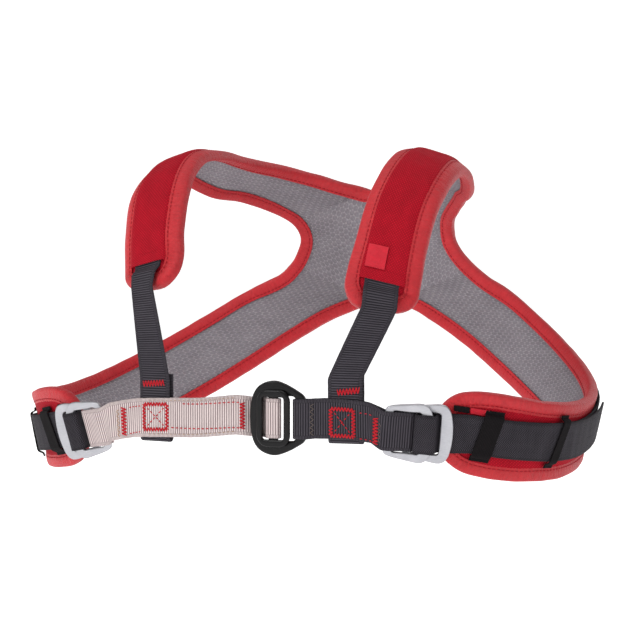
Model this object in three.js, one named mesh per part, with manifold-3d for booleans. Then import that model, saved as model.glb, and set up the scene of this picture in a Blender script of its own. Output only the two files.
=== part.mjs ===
// Climbing chest harness: a padded yoke over the shoulders, wings round the ribs, webbing
// straps, two pairs of adjuster rings and a two-piece buckle on the chest.
// Millimetres. +X is the wearer's left, +Y the wearer's back, +Z up. The origin lies
// between the crests of the two shoulder pads, where the harness hangs on its wearer.
import * as THREE from 'three';
import { mergeVertices } from 'three/addons/utils/BufferGeometryUtils.js';
import Module from 'manifold-3d';

// Sizes of the whole harness
const girthHalfWidth = 219;   // half of the chest's width, inside the wings
const girthFront = 110;       // depth of the chest in front of the shoulders
const girthBack = 151;        // depth of the back behind the shoulders
const squareness = 2.4;       // power of the chest's plan outline, 2 for an ellipse
const frontDrop = 190;        // from the shoulder crests down to the chest webbing
const neckHalf = 73;          // half of the neck opening at the crests
const padWidth = 50;          // shoulder pad, edge to edge
const ribLean = 0.22;         // how much the wings close in for each mm down
const ribLeanHeight = -150;   // height where the plan outline has its named size
const padSkew = 6;            // pad on -X ends this much higher than the middle, the other lower
const wingSkew = 5;           // wing on +X sits this much higher than the middle, the other lower
const girthShift = -3;        // how far the wings and chest straps sit to one side

// Layers of the pad, counted outwards from its inner face
const liningThickness = 1;
const paddingThickness = 3.4;
const layerGap = 0.35;
const bindingWidth = 10.5;
const bindingWall = 0.8;
const padInset = 3;           // from the pad's outline in to its own layers
const bindingGap = 0.95;      // between the binding's inside and the pad
const facingThickness = 1;
const sleeveWall = 1;
const padEndRadius = 17;
const wingEndRadius = 21;

// Webbing
const webThickness = 1.6;
const chestWebWidth = 28;
const shoulderWebWidth = 25;
const webGap = 0.4;
const shoulderWebPlaces = { 1: 81, '-1': -66 };  // along the chest from its middle
const shoulderWebRise = 31;   // how far the sewn end stands above the middle of the chest web
// Places on a side, counted along the girth from the wing's front end
const strapSewnPlace = 235.5;
const tailEndPlace = 181.5;
const strapSeatedPlace = 25.5;  // from here on the strap lies flat on the wing

// Adjuster rings
const ringLength = 34;
const ringOuterRim = 6.45;    // metal above and below the window at a ring's outer end
const ringInnerRim = 2.7;     // and at its inner end
const ringThickness = 3;
const ringOuterBar = 8.5;
const ringInnerBar = 5.6;
const ringStagger = 13;
const ringPlaces = { 1: -9.5, '-1': -5 };  // middle of a pair, from the wing's front end
const ringTurns = { 1: 0, '-1': 0.2 };  // how far a pair is turned off the chest, in radians

// Buckle
const buckleLength = 42.5;
const buckleRim = 11.2;       // metal above and below the webbing's window
const buckleThickness = 4;
const buckleLeftBar = 8.5;
const buckleRightBar = 7.8;
const togglePlace = -2.3;     // middle of the toggle, from the middle of the buckle
const toggleLength = 25;
const toggleRim = 5.2;        // metal above and below the toggle's window
const toggleThickness = 3.5;
const toggleWindow = 16.2;
const toggleWindowPlace = -0.1;  // middle of its window, from the middle of the toggle
const toggleBar = 7.2;
const toggleBarPlace = -3;    // middle of the toggle's bar, from the middle of the buckle
const bucklePlace = 32.2;     // middle of the buckle, along the girth
const windowSpare = 1.6;      // how much taller a window is than the webbing in it

// Elastic keepers and tag
const keeperThickness = 0.9;
const frontKeeperWidth = 14;
const backKeeperWidth = 8;
const frontKeeperPlace = 38.5;  // from the wing's front end, like the next two
const backKeeperPlace = 96.5;
const strapTabPlace = 20.5;
const strapTabWidth = 11;
const tagWidth = 14.5;
const tagHeight = 12;
const tagThickness = 0.7;
const tagRow = 1.36;          // row of the pad where the tag's lower edge lies
const padRowLength = 20;

const liningTop = liningThickness;
const paddingBottom = liningTop + layerGap;
const paddingTop = paddingBottom + paddingThickness;
const facingBottom = paddingTop + layerGap;
const facingTop = facingBottom + facingThickness;
const bindingTop = paddingTop + bindingGap + bindingWall;
const raisedFrom = bindingWidth;  // the pad's middle is raised between its bound edges
const bindingBottom = -bindingGap - bindingWall;
const strapStep = webThickness + webGap;
const windowHeight = chestWebWidth + windowSpare;
const ringOuterHeight = windowHeight + 2 * ringOuterRim;
const ringInnerHeight = windowHeight + 2 * ringInnerRim;
const buckleHeight = windowHeight + 2 * buckleRim;
const toggleHeight = windowHeight + 2 * toggleRim;

// Rows of the yoke from the pad's front end over the shoulder to the middle of the back.
// neckX is a share of neckHalf, padX of padWidth, the y columns of the front or back depth,
// the z columns of frontDrop, and bow is the height of the pad's curve in mm.
const yokeRows = [
  { neckX: 0.90, padX: 0.94, neckY: -0.80, armY: -0.60, neckZ: -0.540, armZ: -0.575, bow: 0 },
  { neckX: 0.88, padX: 1.02, neckY: -0.68, armY: -0.57, neckZ: -0.430, armZ: -0.490, bow: 3 },
  { neckX: 0.93, padX: 1.00, neckY: -0.60, armY: -0.53, neckZ: -0.315, armZ: -0.370, bow: 4 },
  { neckX: 0.97, padX: 1.00, neckY: -0.475, armY: -0.44, neckZ: -0.178, armZ: -0.241, bow: 4 },
  { neckX: 1.00, padX: 0.98, neckY: -0.325, armY: -0.316, neckZ: -0.085, armZ: -0.170, bow: 4 },
  { neckX: 1.01, padX: 0.96, neckY: -0.155, armY: -0.145, neckZ: -0.031, armZ: -0.115, bow: 4 },
  { neckX: 1.00, padX: 0.96, neckY: 0.013, armY: 0.026, neckZ: -0.016, armZ: -0.089, bow: 4 },
  { neckX: 1.00, padX: 0.92, neckY: 0.16, armY: 0.16, neckZ: -0.016, armZ: -0.103, bow: 3 },
  { neckX: 0.97, padX: 0.86, neckY: 0.295, armY: 0.28, neckZ: -0.029, armZ: -0.143, bow: 3 },
  { neckX: 0.88, padX: 0.84, neckY: 0.445, armY: 0.40, neckZ: -0.043, armZ: -0.175, bow: 2 },
  { neckX: 0.71, padX: 0.88, neckY: 0.60, armY: 0.52, neckZ: -0.063, armZ: -0.187, bow: 2 },
  { neckX: 0.48, padX: 1.04, neckY: 0.70, armY: 0.63, neckZ: -0.090, armZ: -0.210, bow: 2 },
  { neckX: 0.205, padX: 1.24, neckY: 0.775, armY: 0.735, neckZ: -0.126, armZ: -0.242, bow: 1 },
  { neckX: 0.00, padX: 1.38, neckY: 0.81, armY: 0.815, neckZ: -0.142, armZ: -0.279, bow: 1 },
  { neckX: 0.00, padX: 1.32, neckY: 0.887, armY: 0.868, neckZ: -0.263, armZ: -0.321, bow: 1 },
  { neckX: 0.00, padX: 1.33, neckY: 0.96, armY: 0.894, neckZ: -0.400, armZ: -0.363, bow: 1 },
  { neckX: 0.00, padX: 1.44, neckY: 1.013, armY: 0.92, neckZ: -0.526, armZ: -0.416, bow: 1 },
  { neckX: 0.00, padX: 1.60, neckY: 1.04, armY: 0.947, neckZ: -0.620, armZ: -0.463, bow: 1 },
  { neckX: 0.27, padX: 1.44, neckY: 1.04, armY: 0.96, neckZ: -0.637, armZ: -0.510, bow: 1 },
];
// Rows of the wing on the girth, from the back to its front end. The girth columns are
// shares of half the girth, counted from the front, and the z columns shares of frontDrop.
const wingRows = [
  { armGirth: 0.798, armZ: -0.578, lowGirth: 0.922, lowZ: -0.695 },
  { armGirth: 0.751, armZ: -0.663, lowGirth: 0.872, lowZ: -0.784 },
  { armGirth: 0.698, armZ: -0.753, lowGirth: 0.815, lowZ: -0.895 },
  { armGirth: 0.640, armZ: -0.834, lowGirth: 0.750, lowZ: -1.010 },
  { armGirth: 0.581, armZ: -0.894, lowGirth: 0.678, lowZ: -1.110 },
  { armGirth: 0.519, armZ: -0.928, lowGirth: 0.602, lowZ: -1.168 },
  { armGirth: 0.454, armZ: -0.935, lowGirth: 0.525, lowZ: -1.200 },
  { armGirth: 0.397, armZ: -0.926, lowGirth: 0.450, lowZ: -1.221 },
  { armGirth: 0.351, armZ: -0.905, lowGirth: 0.385, lowZ: -1.223 },
  { armGirth: 0.318, armZ: -0.890, lowGirth: 0.338, lowZ: -1.216 },
  { armGirth: 0.290, armZ: -0.888, lowGirth: 0.300, lowZ: -1.200 },
  { armGirth: 0.265, armZ: -0.903, lowGirth: 0.268, lowZ: -1.172 },
  { armGirth: 0.244, armZ: -0.925, lowGirth: 0.244, lowZ: -1.140 },
].map((row) => ({ ...row, bow: 0 }));
// Height of the middle of the chest webbing and side straps along the girth:
// place is a share of half the girth, z a share of frontDrop.
const webHeights = [
  { place: 0.00, z: -0.968 },
  { place: 0.05, z: -0.980 },
  { place: 0.14, z: -0.984 },
  { place: 0.20, z: -1.012 },
  { place: 0.27, z: -1.038 },
  { place: 0.34, z: -1.072 },
  { place: 0.42, z: -1.090 },
  { place: 0.50, z: -1.078 },
  { place: 0.60, z: -1.010 },
  { place: 0.70, z: -0.900 },
];
const topNotch = 13;
const bottomNotch = 17;
const lastRow = yokeRows.length + wingRows.length - 1;

const red = { color: 0xc22d38, roughness: 0.6, metalness: 0 };
const darkRed = { color: 0xa81c28, roughness: 0.75, metalness: 0 };
const grey = { color: 0x8c8288, roughness: 0.9, metalness: 0 };
const charcoal = { color: 0x3a353b, roughness: 0.75, metalness: 0 };
const sand = { color: 0xc1b2b4, roughness: 0.75, metalness: 0 };
const black = { color: 0x1b1618, roughness: 0.8, metalness: 0 };
const aluminium = { color: 0xc9c8cc, roughness: 0.4, metalness: 0.9 };
const blackMetal = { color: 0x1b1618, roughness: 0.35, metalness: 0.6 };

const harness = new THREE.Group();

function addNode(name, geometry, finish) {
  const mesh = new THREE.Mesh(geometry, new THREE.MeshStandardMaterial(finish));
  mesh.name = name;
  harness.add(mesh);
  return mesh;
}

// A closed body from loose triangles, turned inside out if its volume comes out negative
function closedGeometry(points, triangles) {
  let volume = 0;
  for (const [a, b, c] of triangles) {
    volume += points[a].dot(points[b].clone().cross(points[c]));
  }
  const index = triangles.flatMap(([a, b, c]) => (volume < 0 ? [a, c, b] : [a, b, c]));
  const geometry = new THREE.BufferGeometry();
  geometry.setAttribute('position', new THREE.Float32BufferAttribute(
    points.flatMap((p) => [p.x, p.y, p.z]), 3));
  geometry.setIndex(index);
  return mergeVertices(geometry, 1e-3);
}

// A body swept through sections with the same number of points. The first half of a
// section's points faces its second half read backwards, which is how an end is closed.
// Mirrored pieces take their facets' diagonals the other way, so that the halves match.
function sweptGeometry(sections, closed, mirrored = () => false) {
  const size = sections[0].length;
  const points = sections.flat();
  const triangles = [];
  const last = closed ? sections.length : sections.length - 1;
  for (let i = 0; i < last; i += 1) {
    const here = i * size;
    const next = ((i + 1) % sections.length) * size;
    for (let j = 0; j < size; j += 1) {
      const k = (j + 1) % size;
      if (mirrored(i)) {
        triangles.push([here + j, next + j, here + k], [next + j, next + k, here + k]);
      } else {
        triangles.push([here + j, next + j, next + k], [here + j, next + k, here + k]);
      }
    }
  }
  if (!closed) {
    const end = (sections.length - 1) * size;
    for (let j = 0; j < size / 2 - 1; j += 1) {
      const far = size - 1 - j;
      triangles.push([j, j + 1, far - 1], [j, far - 1, far]);
      triangles.push([end + j, end + far - 1, end + j + 1], [end + j, end + far, end + far - 1]);
    }
  }
  return closedGeometry(points, triangles);
}

// Smooth curve through equally counted points, as each of its four neighbours pulls it
function smoothAt(points, place) {
  const step = Math.min(Math.max(Math.floor(place), 0), points.length - 2);
  const f = place - step;
  const p1 = points[step];
  const p2 = points[step + 1];
  const p0 = step > 0 ? points[step - 1] : p1.clone().multiplyScalar(2).sub(p2);
  const p3 = step + 2 < points.length ? points[step + 2] : p2.clone().multiplyScalar(2).sub(p1);
  const weights = [
    -0.5 * f + f * f - 0.5 * f ** 3,
    1 - 2.5 * f * f + 1.5 * f ** 3,
    0.5 * f + 2 * f * f - 1.5 * f ** 3,
    -0.5 * f * f + 0.5 * f ** 3,
  ];
  const result = new THREE.Vector3();
  [p0, p1, p2, p3].forEach((p, i) => result.addScaledVector(p, weights[i]));
  return result;
}

// The plan outline of the chest, walked from the front's middle to the back's middle
const girthSteps = 720;
const girthWalk = [];
for (let i = 0; i <= girthSteps; i += 1) {
  const angle = Math.PI * (i / girthSteps - 0.5);
  const depth = angle < 0 ? girthFront : girthBack;
  const x = girthHalfWidth * Math.abs(Math.cos(angle)) ** (2 / squareness);
  const y = depth * Math.sign(Math.sin(angle)) * Math.abs(Math.sin(angle)) ** (2 / squareness);
  const before = girthWalk[i - 1];
  const length = before ? before.length + Math.hypot(x - before.x, y - before.y) : 0;
  girthWalk.push({ x, y, length });
}
const halfGirth = girthWalk[girthSteps].length;
const wingFront = wingRows[wingRows.length - 1].armGirth * halfGirth;
const ringSpots = { 1: wingFront + ringPlaces[1], '-1': -(wingFront + ringPlaces[-1]) };

function girthXY(place) {
  const wanted = Math.min(Math.max(place, 0), halfGirth);
  let low = 0;
  let high = girthSteps;
  while (high - low > 1) {
    const middle = (low + high) >> 1;
    if (girthWalk[middle].length <= wanted) low = middle;
    else high = middle;
  }
  const from = girthWalk[low];
  const to = girthWalk[high];
  const f = (wanted - from.length) / (to.length - from.length);
  return [from.x + (to.x - from.x) * f, from.y + (to.y - from.y) * f];
}

// Position, outward normal and direction along the girth at a place counted from the
// front's middle, positive towards +X
function girthFrame(place) {
  const side = place < 0 ? -1 : 1;
  const reach = 6;
  const [x, y] = girthXY(Math.abs(place));
  const [x1, y1] = girthXY(Math.max(Math.abs(place) - reach, 0));
  const [x2, y2] = girthXY(Math.abs(place) + reach);
  const along = new THREE.Vector3(x2 - x1, y2 - y1, 0).normalize();
  const nearMiddle = Math.min(Math.abs(place) / reach, 1);
  along.y *= nearMiddle;
  along.normalize();
  const out = new THREE.Vector3(along.y * side, -along.x, 0);
  return {
    position: new THREE.Vector3(x * side, y, 0),
    along: new THREE.Vector3(along.x, along.y * side, 0),
    out,
  };
}

// The wings and side straps close in downwards, the webbing on the chest stands upright
function leanAt(place) {
  const uprightUntil = 60;
  const fullFrom = 150;
  return ribLean * THREE.MathUtils.smoothstep(Math.abs(place), uprightUntil, fullFrom);
}

function girthPoint(place, z, offset) {
  const frame = girthFrame(place);
  const upright = ribLean * (-frontDrop - ribLeanHeight);
  const lean = leanAt(place);
  const leaning = lean * (z - ribLeanHeight) + (1 - lean / ribLean) * upright;
  const point = frame.position.addScaledVector(frame.out, offset + leaning);
  point.x += girthShift;
  point.z = z;
  return point;
}

function webHeight(place) {
  const share = Math.abs(place) / halfGirth;
  const rows = webHeights;
  const next = rows.findIndex((row) => row.place > share);
  const i = next < 0 ? rows.length - 1 : Math.max(next, 1);
  const step = (share - rows[i - 1].place) / (rows[i].place - rows[i - 1].place);
  const points = rows.map((row) => new THREE.Vector3(row.z, 0, 0));
  const ramp = THREE.MathUtils.clamp(share / webHeights[4].place, 0, 1);
  const skew = wingSkew * Math.sign(place) * ramp;
  return frontDrop * smoothAt(points, i - 1 + Math.min(step, 1)).x + skew;
}

// The edges of one half of the yoke, as points for the side given, in the right half space
function edgePoints(side) {
  const neck = [];
  const arm = [];
  yokeRows.forEach((row, i) => {
    const lift = -side * padSkew * Math.max(6 - i, 0) / 6;
    const depth = (share) => share * (share < 0 ? girthFront : girthBack);
    const x = row.neckX * neckHalf;
    neck.push(new THREE.Vector3(x, depth(row.neckY), row.neckZ * frontDrop + lift));
    arm.push(new THREE.Vector3(x + row.padX * padWidth, depth(row.armY),
      row.armZ * frontDrop + lift));
  });
  wingRows.forEach((row, i) => {
    const lift = side * wingSkew * i / (wingRows.length - 1);
    const onWing = (share, z) => {
      const point = girthPoint(side * share * halfGirth, z * frontDrop + lift, 0);
      point.x *= side;
      return point;
    };
    arm.push(onWing(row.armGirth, row.armZ));
    neck.push(onWing(row.lowGirth, row.lowZ));
  });
  return { neck, arm };
}
const edges = { 1: edgePoints(1), '-1': edgePoints(-1) };
const bows = [...yokeRows, ...wingRows].map((row) => new THREE.Vector3(row.bow, 0, 0));

// The inner edge runs along the neck, down the middle of the back and along the wing
function neckEdgeAt(side, row) {
  const { neck } = edges[side];
  const across = (p) => new THREE.Vector3(-p.x, p.y, p.z);
  if (row < topNotch) {
    return smoothAt([...neck.slice(0, topNotch + 1), across(neck[topNotch - 1])], row);
  }
  if (row <= bottomNotch) {
    return smoothAt(neck.slice(topNotch, bottomNotch + 1), row - topNotch);
  }
  const lower = [across(neck[bottomNotch + 1]), ...neck.slice(bottomNotch)];
  return smoothAt(lower, row - bottomNotch + 1);
}

// A point of the pad's inner face: row counts along the pad, across goes from the neck
// edge, 0, to the armhole edge, 1
function padPoint(side, row, across) {
  const inner = neckEdgeAt(side, row);
  const outer = smoothAt(edges[side].arm, row);
  return inner.lerp(outer, across);
}

function padNormal(side, row, across) {
  const step = 0.02;
  const low = Math.max(row - step, 0);
  const high = Math.min(row + step, lastRow);
  const along = padPoint(side, high, across).sub(padPoint(side, low, across));
  const wide = padPoint(side, row, 1).sub(padPoint(side, row, 0));
  return wide.cross(along).normalize();
}

// A point of the pad at a height above its inner face, on its own side of the body
function padAt(side, row, across, height) {
  const point = padPoint(side, row, across);
  const onMiddle = point.x < 1e-6;
  const normal = padNormal(side, row, across);
  if (onMiddle) {
    normal.x = 0;
    normal.normalize();
  }
  const rim = across < 0.5 ? 0 : 1;
  const distance = Math.min(across, 1 - across) / shareAt(side, row, rim, 1);
  const bow = smoothAt(bows, row).x * Math.min(distance / raisedFrom, 1);
  point.addScaledVector(normal, bow + height);
  point.x *= side;
  return point;
}

function padWide(side, row) {
  return padPoint(side, row, 0).distanceTo(padPoint(side, row, 1));
}

// The share of the pad's width that lies a distance in from one rim, measured square to it
function shareAt(side, row, rim, distance) {
  const step = 0.05;
  const wide = padPoint(side, row, 1).sub(padPoint(side, row, 0));
  const low = Math.max(row - step, 0);
  const high = Math.min(row + step, lastRow);
  const along = padPoint(side, high, rim).sub(padPoint(side, low, rim));
  return distance / (wide.length() * Math.sin(along.angleTo(wide)));
}

// How far the rounded ends of pad and wing cut into its edges at a row
function endCut(row) {
  const rowLength = (from) => padPoint(1, from, 0.5).distanceTo(padPoint(1, from + 1, 0.5));
  const cut = (distance, radius) => (distance < radius
    ? radius - Math.sqrt(Math.max(radius ** 2 - (radius - distance) ** 2, 0)) : 0);
  return cut(row * rowLength(0), padEndRadius)
    + cut((lastRow - row) * rowLength(lastRow - 1), wingEndRadius);
}

// Rows where the pad has its sections, closer together round its ends
function sectionRows() {
  const rows = [];
  const padRow = padPoint(1, 0, 0.5).distanceTo(padPoint(1, 1, 0.5));
  const wingRow = padPoint(1, lastRow, 0.5).distanceTo(padPoint(1, lastRow - 1, 0.5));
  const turns = 4;
  for (let i = 0; i <= turns; i += 1) {
    const share = 1 - Math.cos((Math.PI / 2) * (i / turns));
    rows.push(share * padEndRadius / padRow);
    rows.push(lastRow - share * wingEndRadius / wingRow);
  }
  const from = Math.ceil(padEndRadius / padRow + 0.3);
  rows.push((padEndRadius / padRow + from) / 2);
  const to = Math.floor(lastRow - wingEndRadius / wingRow - 0.3);
  for (let row = from; row <= to; row += 1) {
    rows.push(row);
    if (row < to) rows.push(row + 0.5);
  }
  return rows.sort((a, b) => a - b);
}
const rowsOfPad = sectionRows();

// One sheet of the pad between two heights, a little smaller than the outline all round
function padLayer(bottom, top, inset) {
  const points = [];
  const triangles = [];
  const columns = 4;
  const notchStep = inset / padPoint(1, topNotch, 0).distanceTo(padPoint(1, topNotch + 1, 0));
  const lowStep = inset / padPoint(1, bottomNotch - 1, 0).distanceTo(
    padPoint(1, bottomNotch, 0));
  const padRow = padPoint(1, 0, 0.5).distanceTo(padPoint(1, 1, 0.5));
  const wingRow = padPoint(1, lastRow, 0.5).distanceTo(padPoint(1, lastRow - 1, 0.5));
  const rows = rowsOfPad.map((row) => THREE.MathUtils.clamp(
    row, 1.4 * inset / padRow, lastRow - 1.2 * inset / wingRow));
  rows.push(topNotch + notchStep, bottomNotch - lowStep);
  const ordered = [...new Set(rows)].sort((a, b) => a - b);
  const seam = (row) => row > topNotch + notchStep / 2 && row < bottomNotch - lowStep / 2;
  for (const side of [1, -1]) {
    const first = points.length;
    ordered.forEach((row) => {
      const wide = padWide(side, row);
      const cut = endCut(row) / wide;
      const low = seam(row) ? 0 : cut + shareAt(side, row, 0, inset);
      const high = 1 - cut - shareAt(side, row, 1, inset);
      const raised = [0, 1].map((rim) => shareAt(side, row, rim, raisedFrom));
      const shares = [
        low, Math.max(raised[0], low + 0.01), Math.min(1 - raised[1], high - 0.01), high,
      ];
      for (const height of [bottom, top]) {
        shares.forEach((across) => points.push(padAt(side, row, across, height)));
      }
    });
    const at = (i, level, j) => first + (i * 2 + level) * columns + j;
    const quad = (a, b, c, d) => {
      if (side > 0) triangles.push([a, b, c], [a, c, d]);
      else triangles.push([a, c, b], [a, d, c]);
    };
    for (let i = 0; i < ordered.length - 1; i += 1) {
      for (let j = 0; j < columns - 1; j += 1) {
        quad(at(i, 1, j), at(i, 1, j + 1), at(i + 1, 1, j + 1), at(i + 1, 1, j));
        quad(at(i, 0, j), at(i + 1, 0, j), at(i + 1, 0, j + 1), at(i, 0, j + 1));
      }
      const edge = columns - 1;
      quad(at(i, 1, edge), at(i, 0, edge), at(i + 1, 0, edge), at(i + 1, 1, edge));
      if (!(seam(ordered[i]) && seam(ordered[i + 1]))) {
        quad(at(i, 0, 0), at(i, 1, 0), at(i + 1, 1, 0), at(i + 1, 0, 0));
      }
    }
    const end = ordered.length - 1;
    for (let j = 0; j < columns - 1; j += 1) {
      quad(at(0, 0, j), at(0, 0, j + 1), at(0, 1, j + 1), at(0, 1, j));
      quad(at(end, 1, j), at(end, 1, j + 1), at(end, 0, j + 1), at(end, 0, j));
    }
  }
  return closedGeometry(points, triangles);
}

// The outline of the whole yoke, once round: each stop is a side, a row and a place across
function outlineStops() {
  const edge = (side, rows, outer) => rows.map((row) => {
    const cut = endCut(row) / padWide(side, row);
    return { side, row, across: outer ? 1 - cut : cut };
  });
  const all = rowsOfPad;
  const back = [...all].reverse();
  const upTo = (rows) => rows.filter((row) => row <= topNotch);
  const beyond = (rows) => rows.filter((row) => row >= bottomNotch);
  return [
    ...edge(1, all, true),
    ...edge(1, beyond(back), false),
    ...edge(-1, beyond(all).slice(1), false),
    ...edge(-1, back, true),
    ...edge(-1, upTo(all), false),
    ...edge(1, upTo(back).slice(1), false),
  ];
}

// The place on the pad's inner face nearest to a point, found step by step from a start
function nearestOnPad(stop, target) {
  let { row, across } = stop;
  for (let turn = 0; turn < 12; turn += 1) {
    const here = padPoint(stop.side, row, across);
    const alongStep = row < lastRow - 0.1 ? 0.02 : -0.02;
    const acrossStep = across < 0.5 ? 0.02 : -0.02;
    const along = padPoint(stop.side, row + alongStep, across).sub(here)
      .divideScalar(alongStep);
    const wide = padPoint(stop.side, row, across + acrossStep).sub(here)
      .divideScalar(acrossStep);
    const miss = target.clone().sub(here);
    const [aa, ab, bb] = [along.dot(along), along.dot(wide), wide.dot(wide)];
    const [am, bm] = [along.dot(miss), wide.dot(miss)];
    const determinant = aa * bb - ab * ab;
    row = THREE.MathUtils.clamp(row + (am * bb - bm * ab) / determinant, 0, lastRow);
    across = THREE.MathUtils.clamp(across + (aa * bm - ab * am) / determinant, 0, 1);
  }
  return { row, across };
}

// The binding tape: a channel folded round the pad's edge, once round the whole outline
function bindingGeometry() {
  const stops = outlineStops();
  const edgePoint = (stop) => {
    const point = padPoint(stop.side, stop.row, stop.across);
    point.x *= stop.side;
    return point;
  };
  const rim = stops.map(edgePoint);
  const sections = stops.map((stop, i) => {
    const before = rim[(i + rim.length - 1) % rim.length];
    const after = rim[(i + 1) % rim.length];
    const normal = padNormal(stop.side, stop.row, stop.across);
    if (rim[i].x * stop.side < 1e-6) normal.x = 0;
    normal.x *= stop.side;
    normal.normalize();
    const inward = after.clone().sub(before).cross(normal).normalize().negate();
    const innerTarget = rim[i].clone().addScaledVector(inward, bindingWidth);
    innerTarget.x *= stop.side;
    const inner = nearestOnPad(stop, innerTarget);
    const tape = (height) => padAt(stop.side, inner.row, inner.across, height);
    const edge = (distance, height) => rim[i].clone()
      .addScaledVector(inward, distance).addScaledVector(normal, height);
    const soften = 0.3;
    return [
      tape(bindingBottom), edge(0, bindingBottom + soften), edge(0, bindingTop - soften),
      tape(bindingTop), tape(bindingTop - bindingWall),
      edge(bindingWall, bindingTop - bindingWall - soften),
      edge(bindingWall, bindingBottom + bindingWall + soften), tape(bindingBottom + bindingWall),
    ];
  });
  return sweptGeometry(sections, true, (i) => stops[i].side < 0);
}

// Sheets of webbing along a path of points, each with the direction of its width
function bandGeometry(path, width, thickness, closed, mirrored = false) {
  const count = path.length;
  const neighbour = (i) => (closed
    ? (i + count) % count : THREE.MathUtils.clamp(i, 0, count - 1));
  const sections = path.map((stop, i) => {
    const before = stop.at.clone().sub(path[neighbour(i - 1)].at).normalize();
    const after = path[neighbour(i + 1)].at.clone().sub(stop.at).normalize();
    const turn = Math.max(before.dot(after), 0);
    const bends = before.length() > 0.5 && after.length() > 0.5;
    const mitre = bends ? Math.sqrt((1 + turn) / 2) : 1;
    const out = before.add(after).cross(stop.wide).normalize();
    const corner = (w, t) => stop.at.clone().addScaledVector(stop.wide, w * width / 2)
      .addScaledVector(out, t * thickness / 2 / mitre);
    return [corner(-1, -1), corner(1, -1), corner(1, 1), corner(-1, 1)];
  });
  return sweptGeometry(sections, closed, () => mirrored);
}

// A stop on the chest webbing: the place along the girth and the distance outwards
function chestStop(place, offset, rise = 0) {
  const z = webHeight(place) + rise;
  const at = girthPoint(place, z, offset);
  const wide = girthPoint(place, z + 1, offset).sub(at).normalize();
  return { at, wide };
}

// Local frame of a flat piece of hardware on the girth: along, up and out
function flatFrame(place, reach) {
  const origin = chestStop(place, 0).at;
  const along = chestStop(place + reach, 0).at.sub(chestStop(place - reach, 0).at).normalize();
  const up = chestStop(place, 0).wide;
  up.addScaledVector(along, -up.dot(along)).normalize();
  const out = along.clone().cross(up);
  return { origin, along, up, out };
}

function frameStop(frame, along, out) {
  const at = frame.origin.clone().addScaledVector(frame.along, along)
    .addScaledVector(frame.out, out);
  return { at, wide: frame.up.clone() };
}

// A flat plate cut to a shape, its back face at a distance out from its frame
function plateGeometry(shape, thickness, curveSegments = 5) {
  const edge = 0.6;
  return mergeVertices(new THREE.ExtrudeGeometry(shape, {
    depth: thickness - 2 * edge, bevelEnabled: true, bevelThickness: edge, bevelSize: edge,
    bevelOffset: -edge, bevelSegments: 1, curveSegments,
  }).translate(0, 0, edge), 1e-4);
}

function placeOnFrame(mesh, frame, along, out) {
  const turn = new THREE.Matrix4().makeBasis(frame.along, frame.up, frame.out);
  mesh.quaternion.setFromRotationMatrix(turn);
  mesh.position.copy(frame.origin).addScaledVector(frame.along, along)
    .addScaledVector(frame.out, out);
}

function roundedBox(target, left, right, halfHeight, radius) {
  target.moveTo(left + radius, -halfHeight);
  target.lineTo(right - radius, -halfHeight);
  target.quadraticCurveTo(right, -halfHeight, right, -halfHeight + radius);
  target.lineTo(right, halfHeight - radius);
  target.quadraticCurveTo(right, halfHeight, right - radius, halfHeight);
  target.lineTo(left + radius, halfHeight);
  target.quadraticCurveTo(left, halfHeight, left, halfHeight - radius);
  target.lineTo(left, -halfHeight + radius);
  target.quadraticCurveTo(left, -halfHeight, left + radius, -halfHeight);
  return target;
}

// Levels of the stacked pieces, outwards from the wing's inner face
const strapClearance = 0.65;  // between the binding and the strap that crosses it
const strapSeat = bindingTop + strapClearance + webThickness / 2;
const tailSeat = strapSeat + strapStep;
const frontLayer = 14.6;
const rearRingBack = bindingTop + 2 * strapStep;
const rearRingFront = rearRingBack + ringThickness;
const frontRingBack = rearRingFront + layerGap;
const webSeat = webGap + webThickness / 2;
// How much further out the chest webbing stands at the rings
const ringRise = frontRingBack + ringThickness + webSeat - frontLayer - 0.25;
const webCurve = 0.4;         // how far the edges of a flat strap stand off the curved chest
const ringHalf = ringLength / 2;

// The webbing's middle line round one corner of a bar, from one of the bar's faces to the
// next: h and v say which corner, and the turn starts beside the bar or above it
function cornerStops(frame, side, bar, h, v, startsBeside) {
  const reach = webSeat + 0.08;
  const diagonal = Math.SQRT1_2;
  const turns = [[h, 0], [h * diagonal, v * diagonal], [0, v]];
  if (!startsBeside) turns.reverse();
  const along = h < 0 ? bar.left : bar.right;
  const out = v < 0 ? bar.back : bar.front;
  return turns.map(([a, b]) => frameStop(frame, side * (along + a * reach), out + b * reach));
}

// A ring with a straight inner bar and a wide bowed outer bar, outer end towards +x
function ringShape(side) {
  const inner = ringInnerHeight / 2;
  const outer = ringOuterHeight / 2;
  const bow = 0.8;
  const x = (value) => value * side;
  const shape = new THREE.Shape();
  shape.moveTo(x(-ringHalf), -inner + 4);
  shape.quadraticCurveTo(x(-ringHalf), -inner, x(-ringHalf + 4), -inner - 0.5);
  shape.lineTo(x(ringHalf - 12), -outer);
  shape.bezierCurveTo(x(ringHalf - 5), -outer, x(ringHalf - 1.5), -outer / 2 - 4,
    x(ringHalf - bow), -outer / 3);
  shape.quadraticCurveTo(x(ringHalf + bow), 0, x(ringHalf - bow), outer / 3);
  shape.bezierCurveTo(x(ringHalf - 1.5), outer / 2 + 4, x(ringHalf - 5), outer,
    x(ringHalf - 12), outer);
  shape.lineTo(x(-ringHalf + 4), inner + 0.5);
  shape.quadraticCurveTo(x(-ringHalf), inner, x(-ringHalf), inner - 4);
  shape.closePath();
  const [a, b] = [x(-ringHalf + ringInnerBar), x(ringHalf - ringOuterBar)];
  const window = roundedBox(new THREE.Path(), Math.min(a, b), Math.max(a, b),
    windowHeight / 2, 1.5);
  shape.holes.push(window);
  return shape;
}

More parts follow.
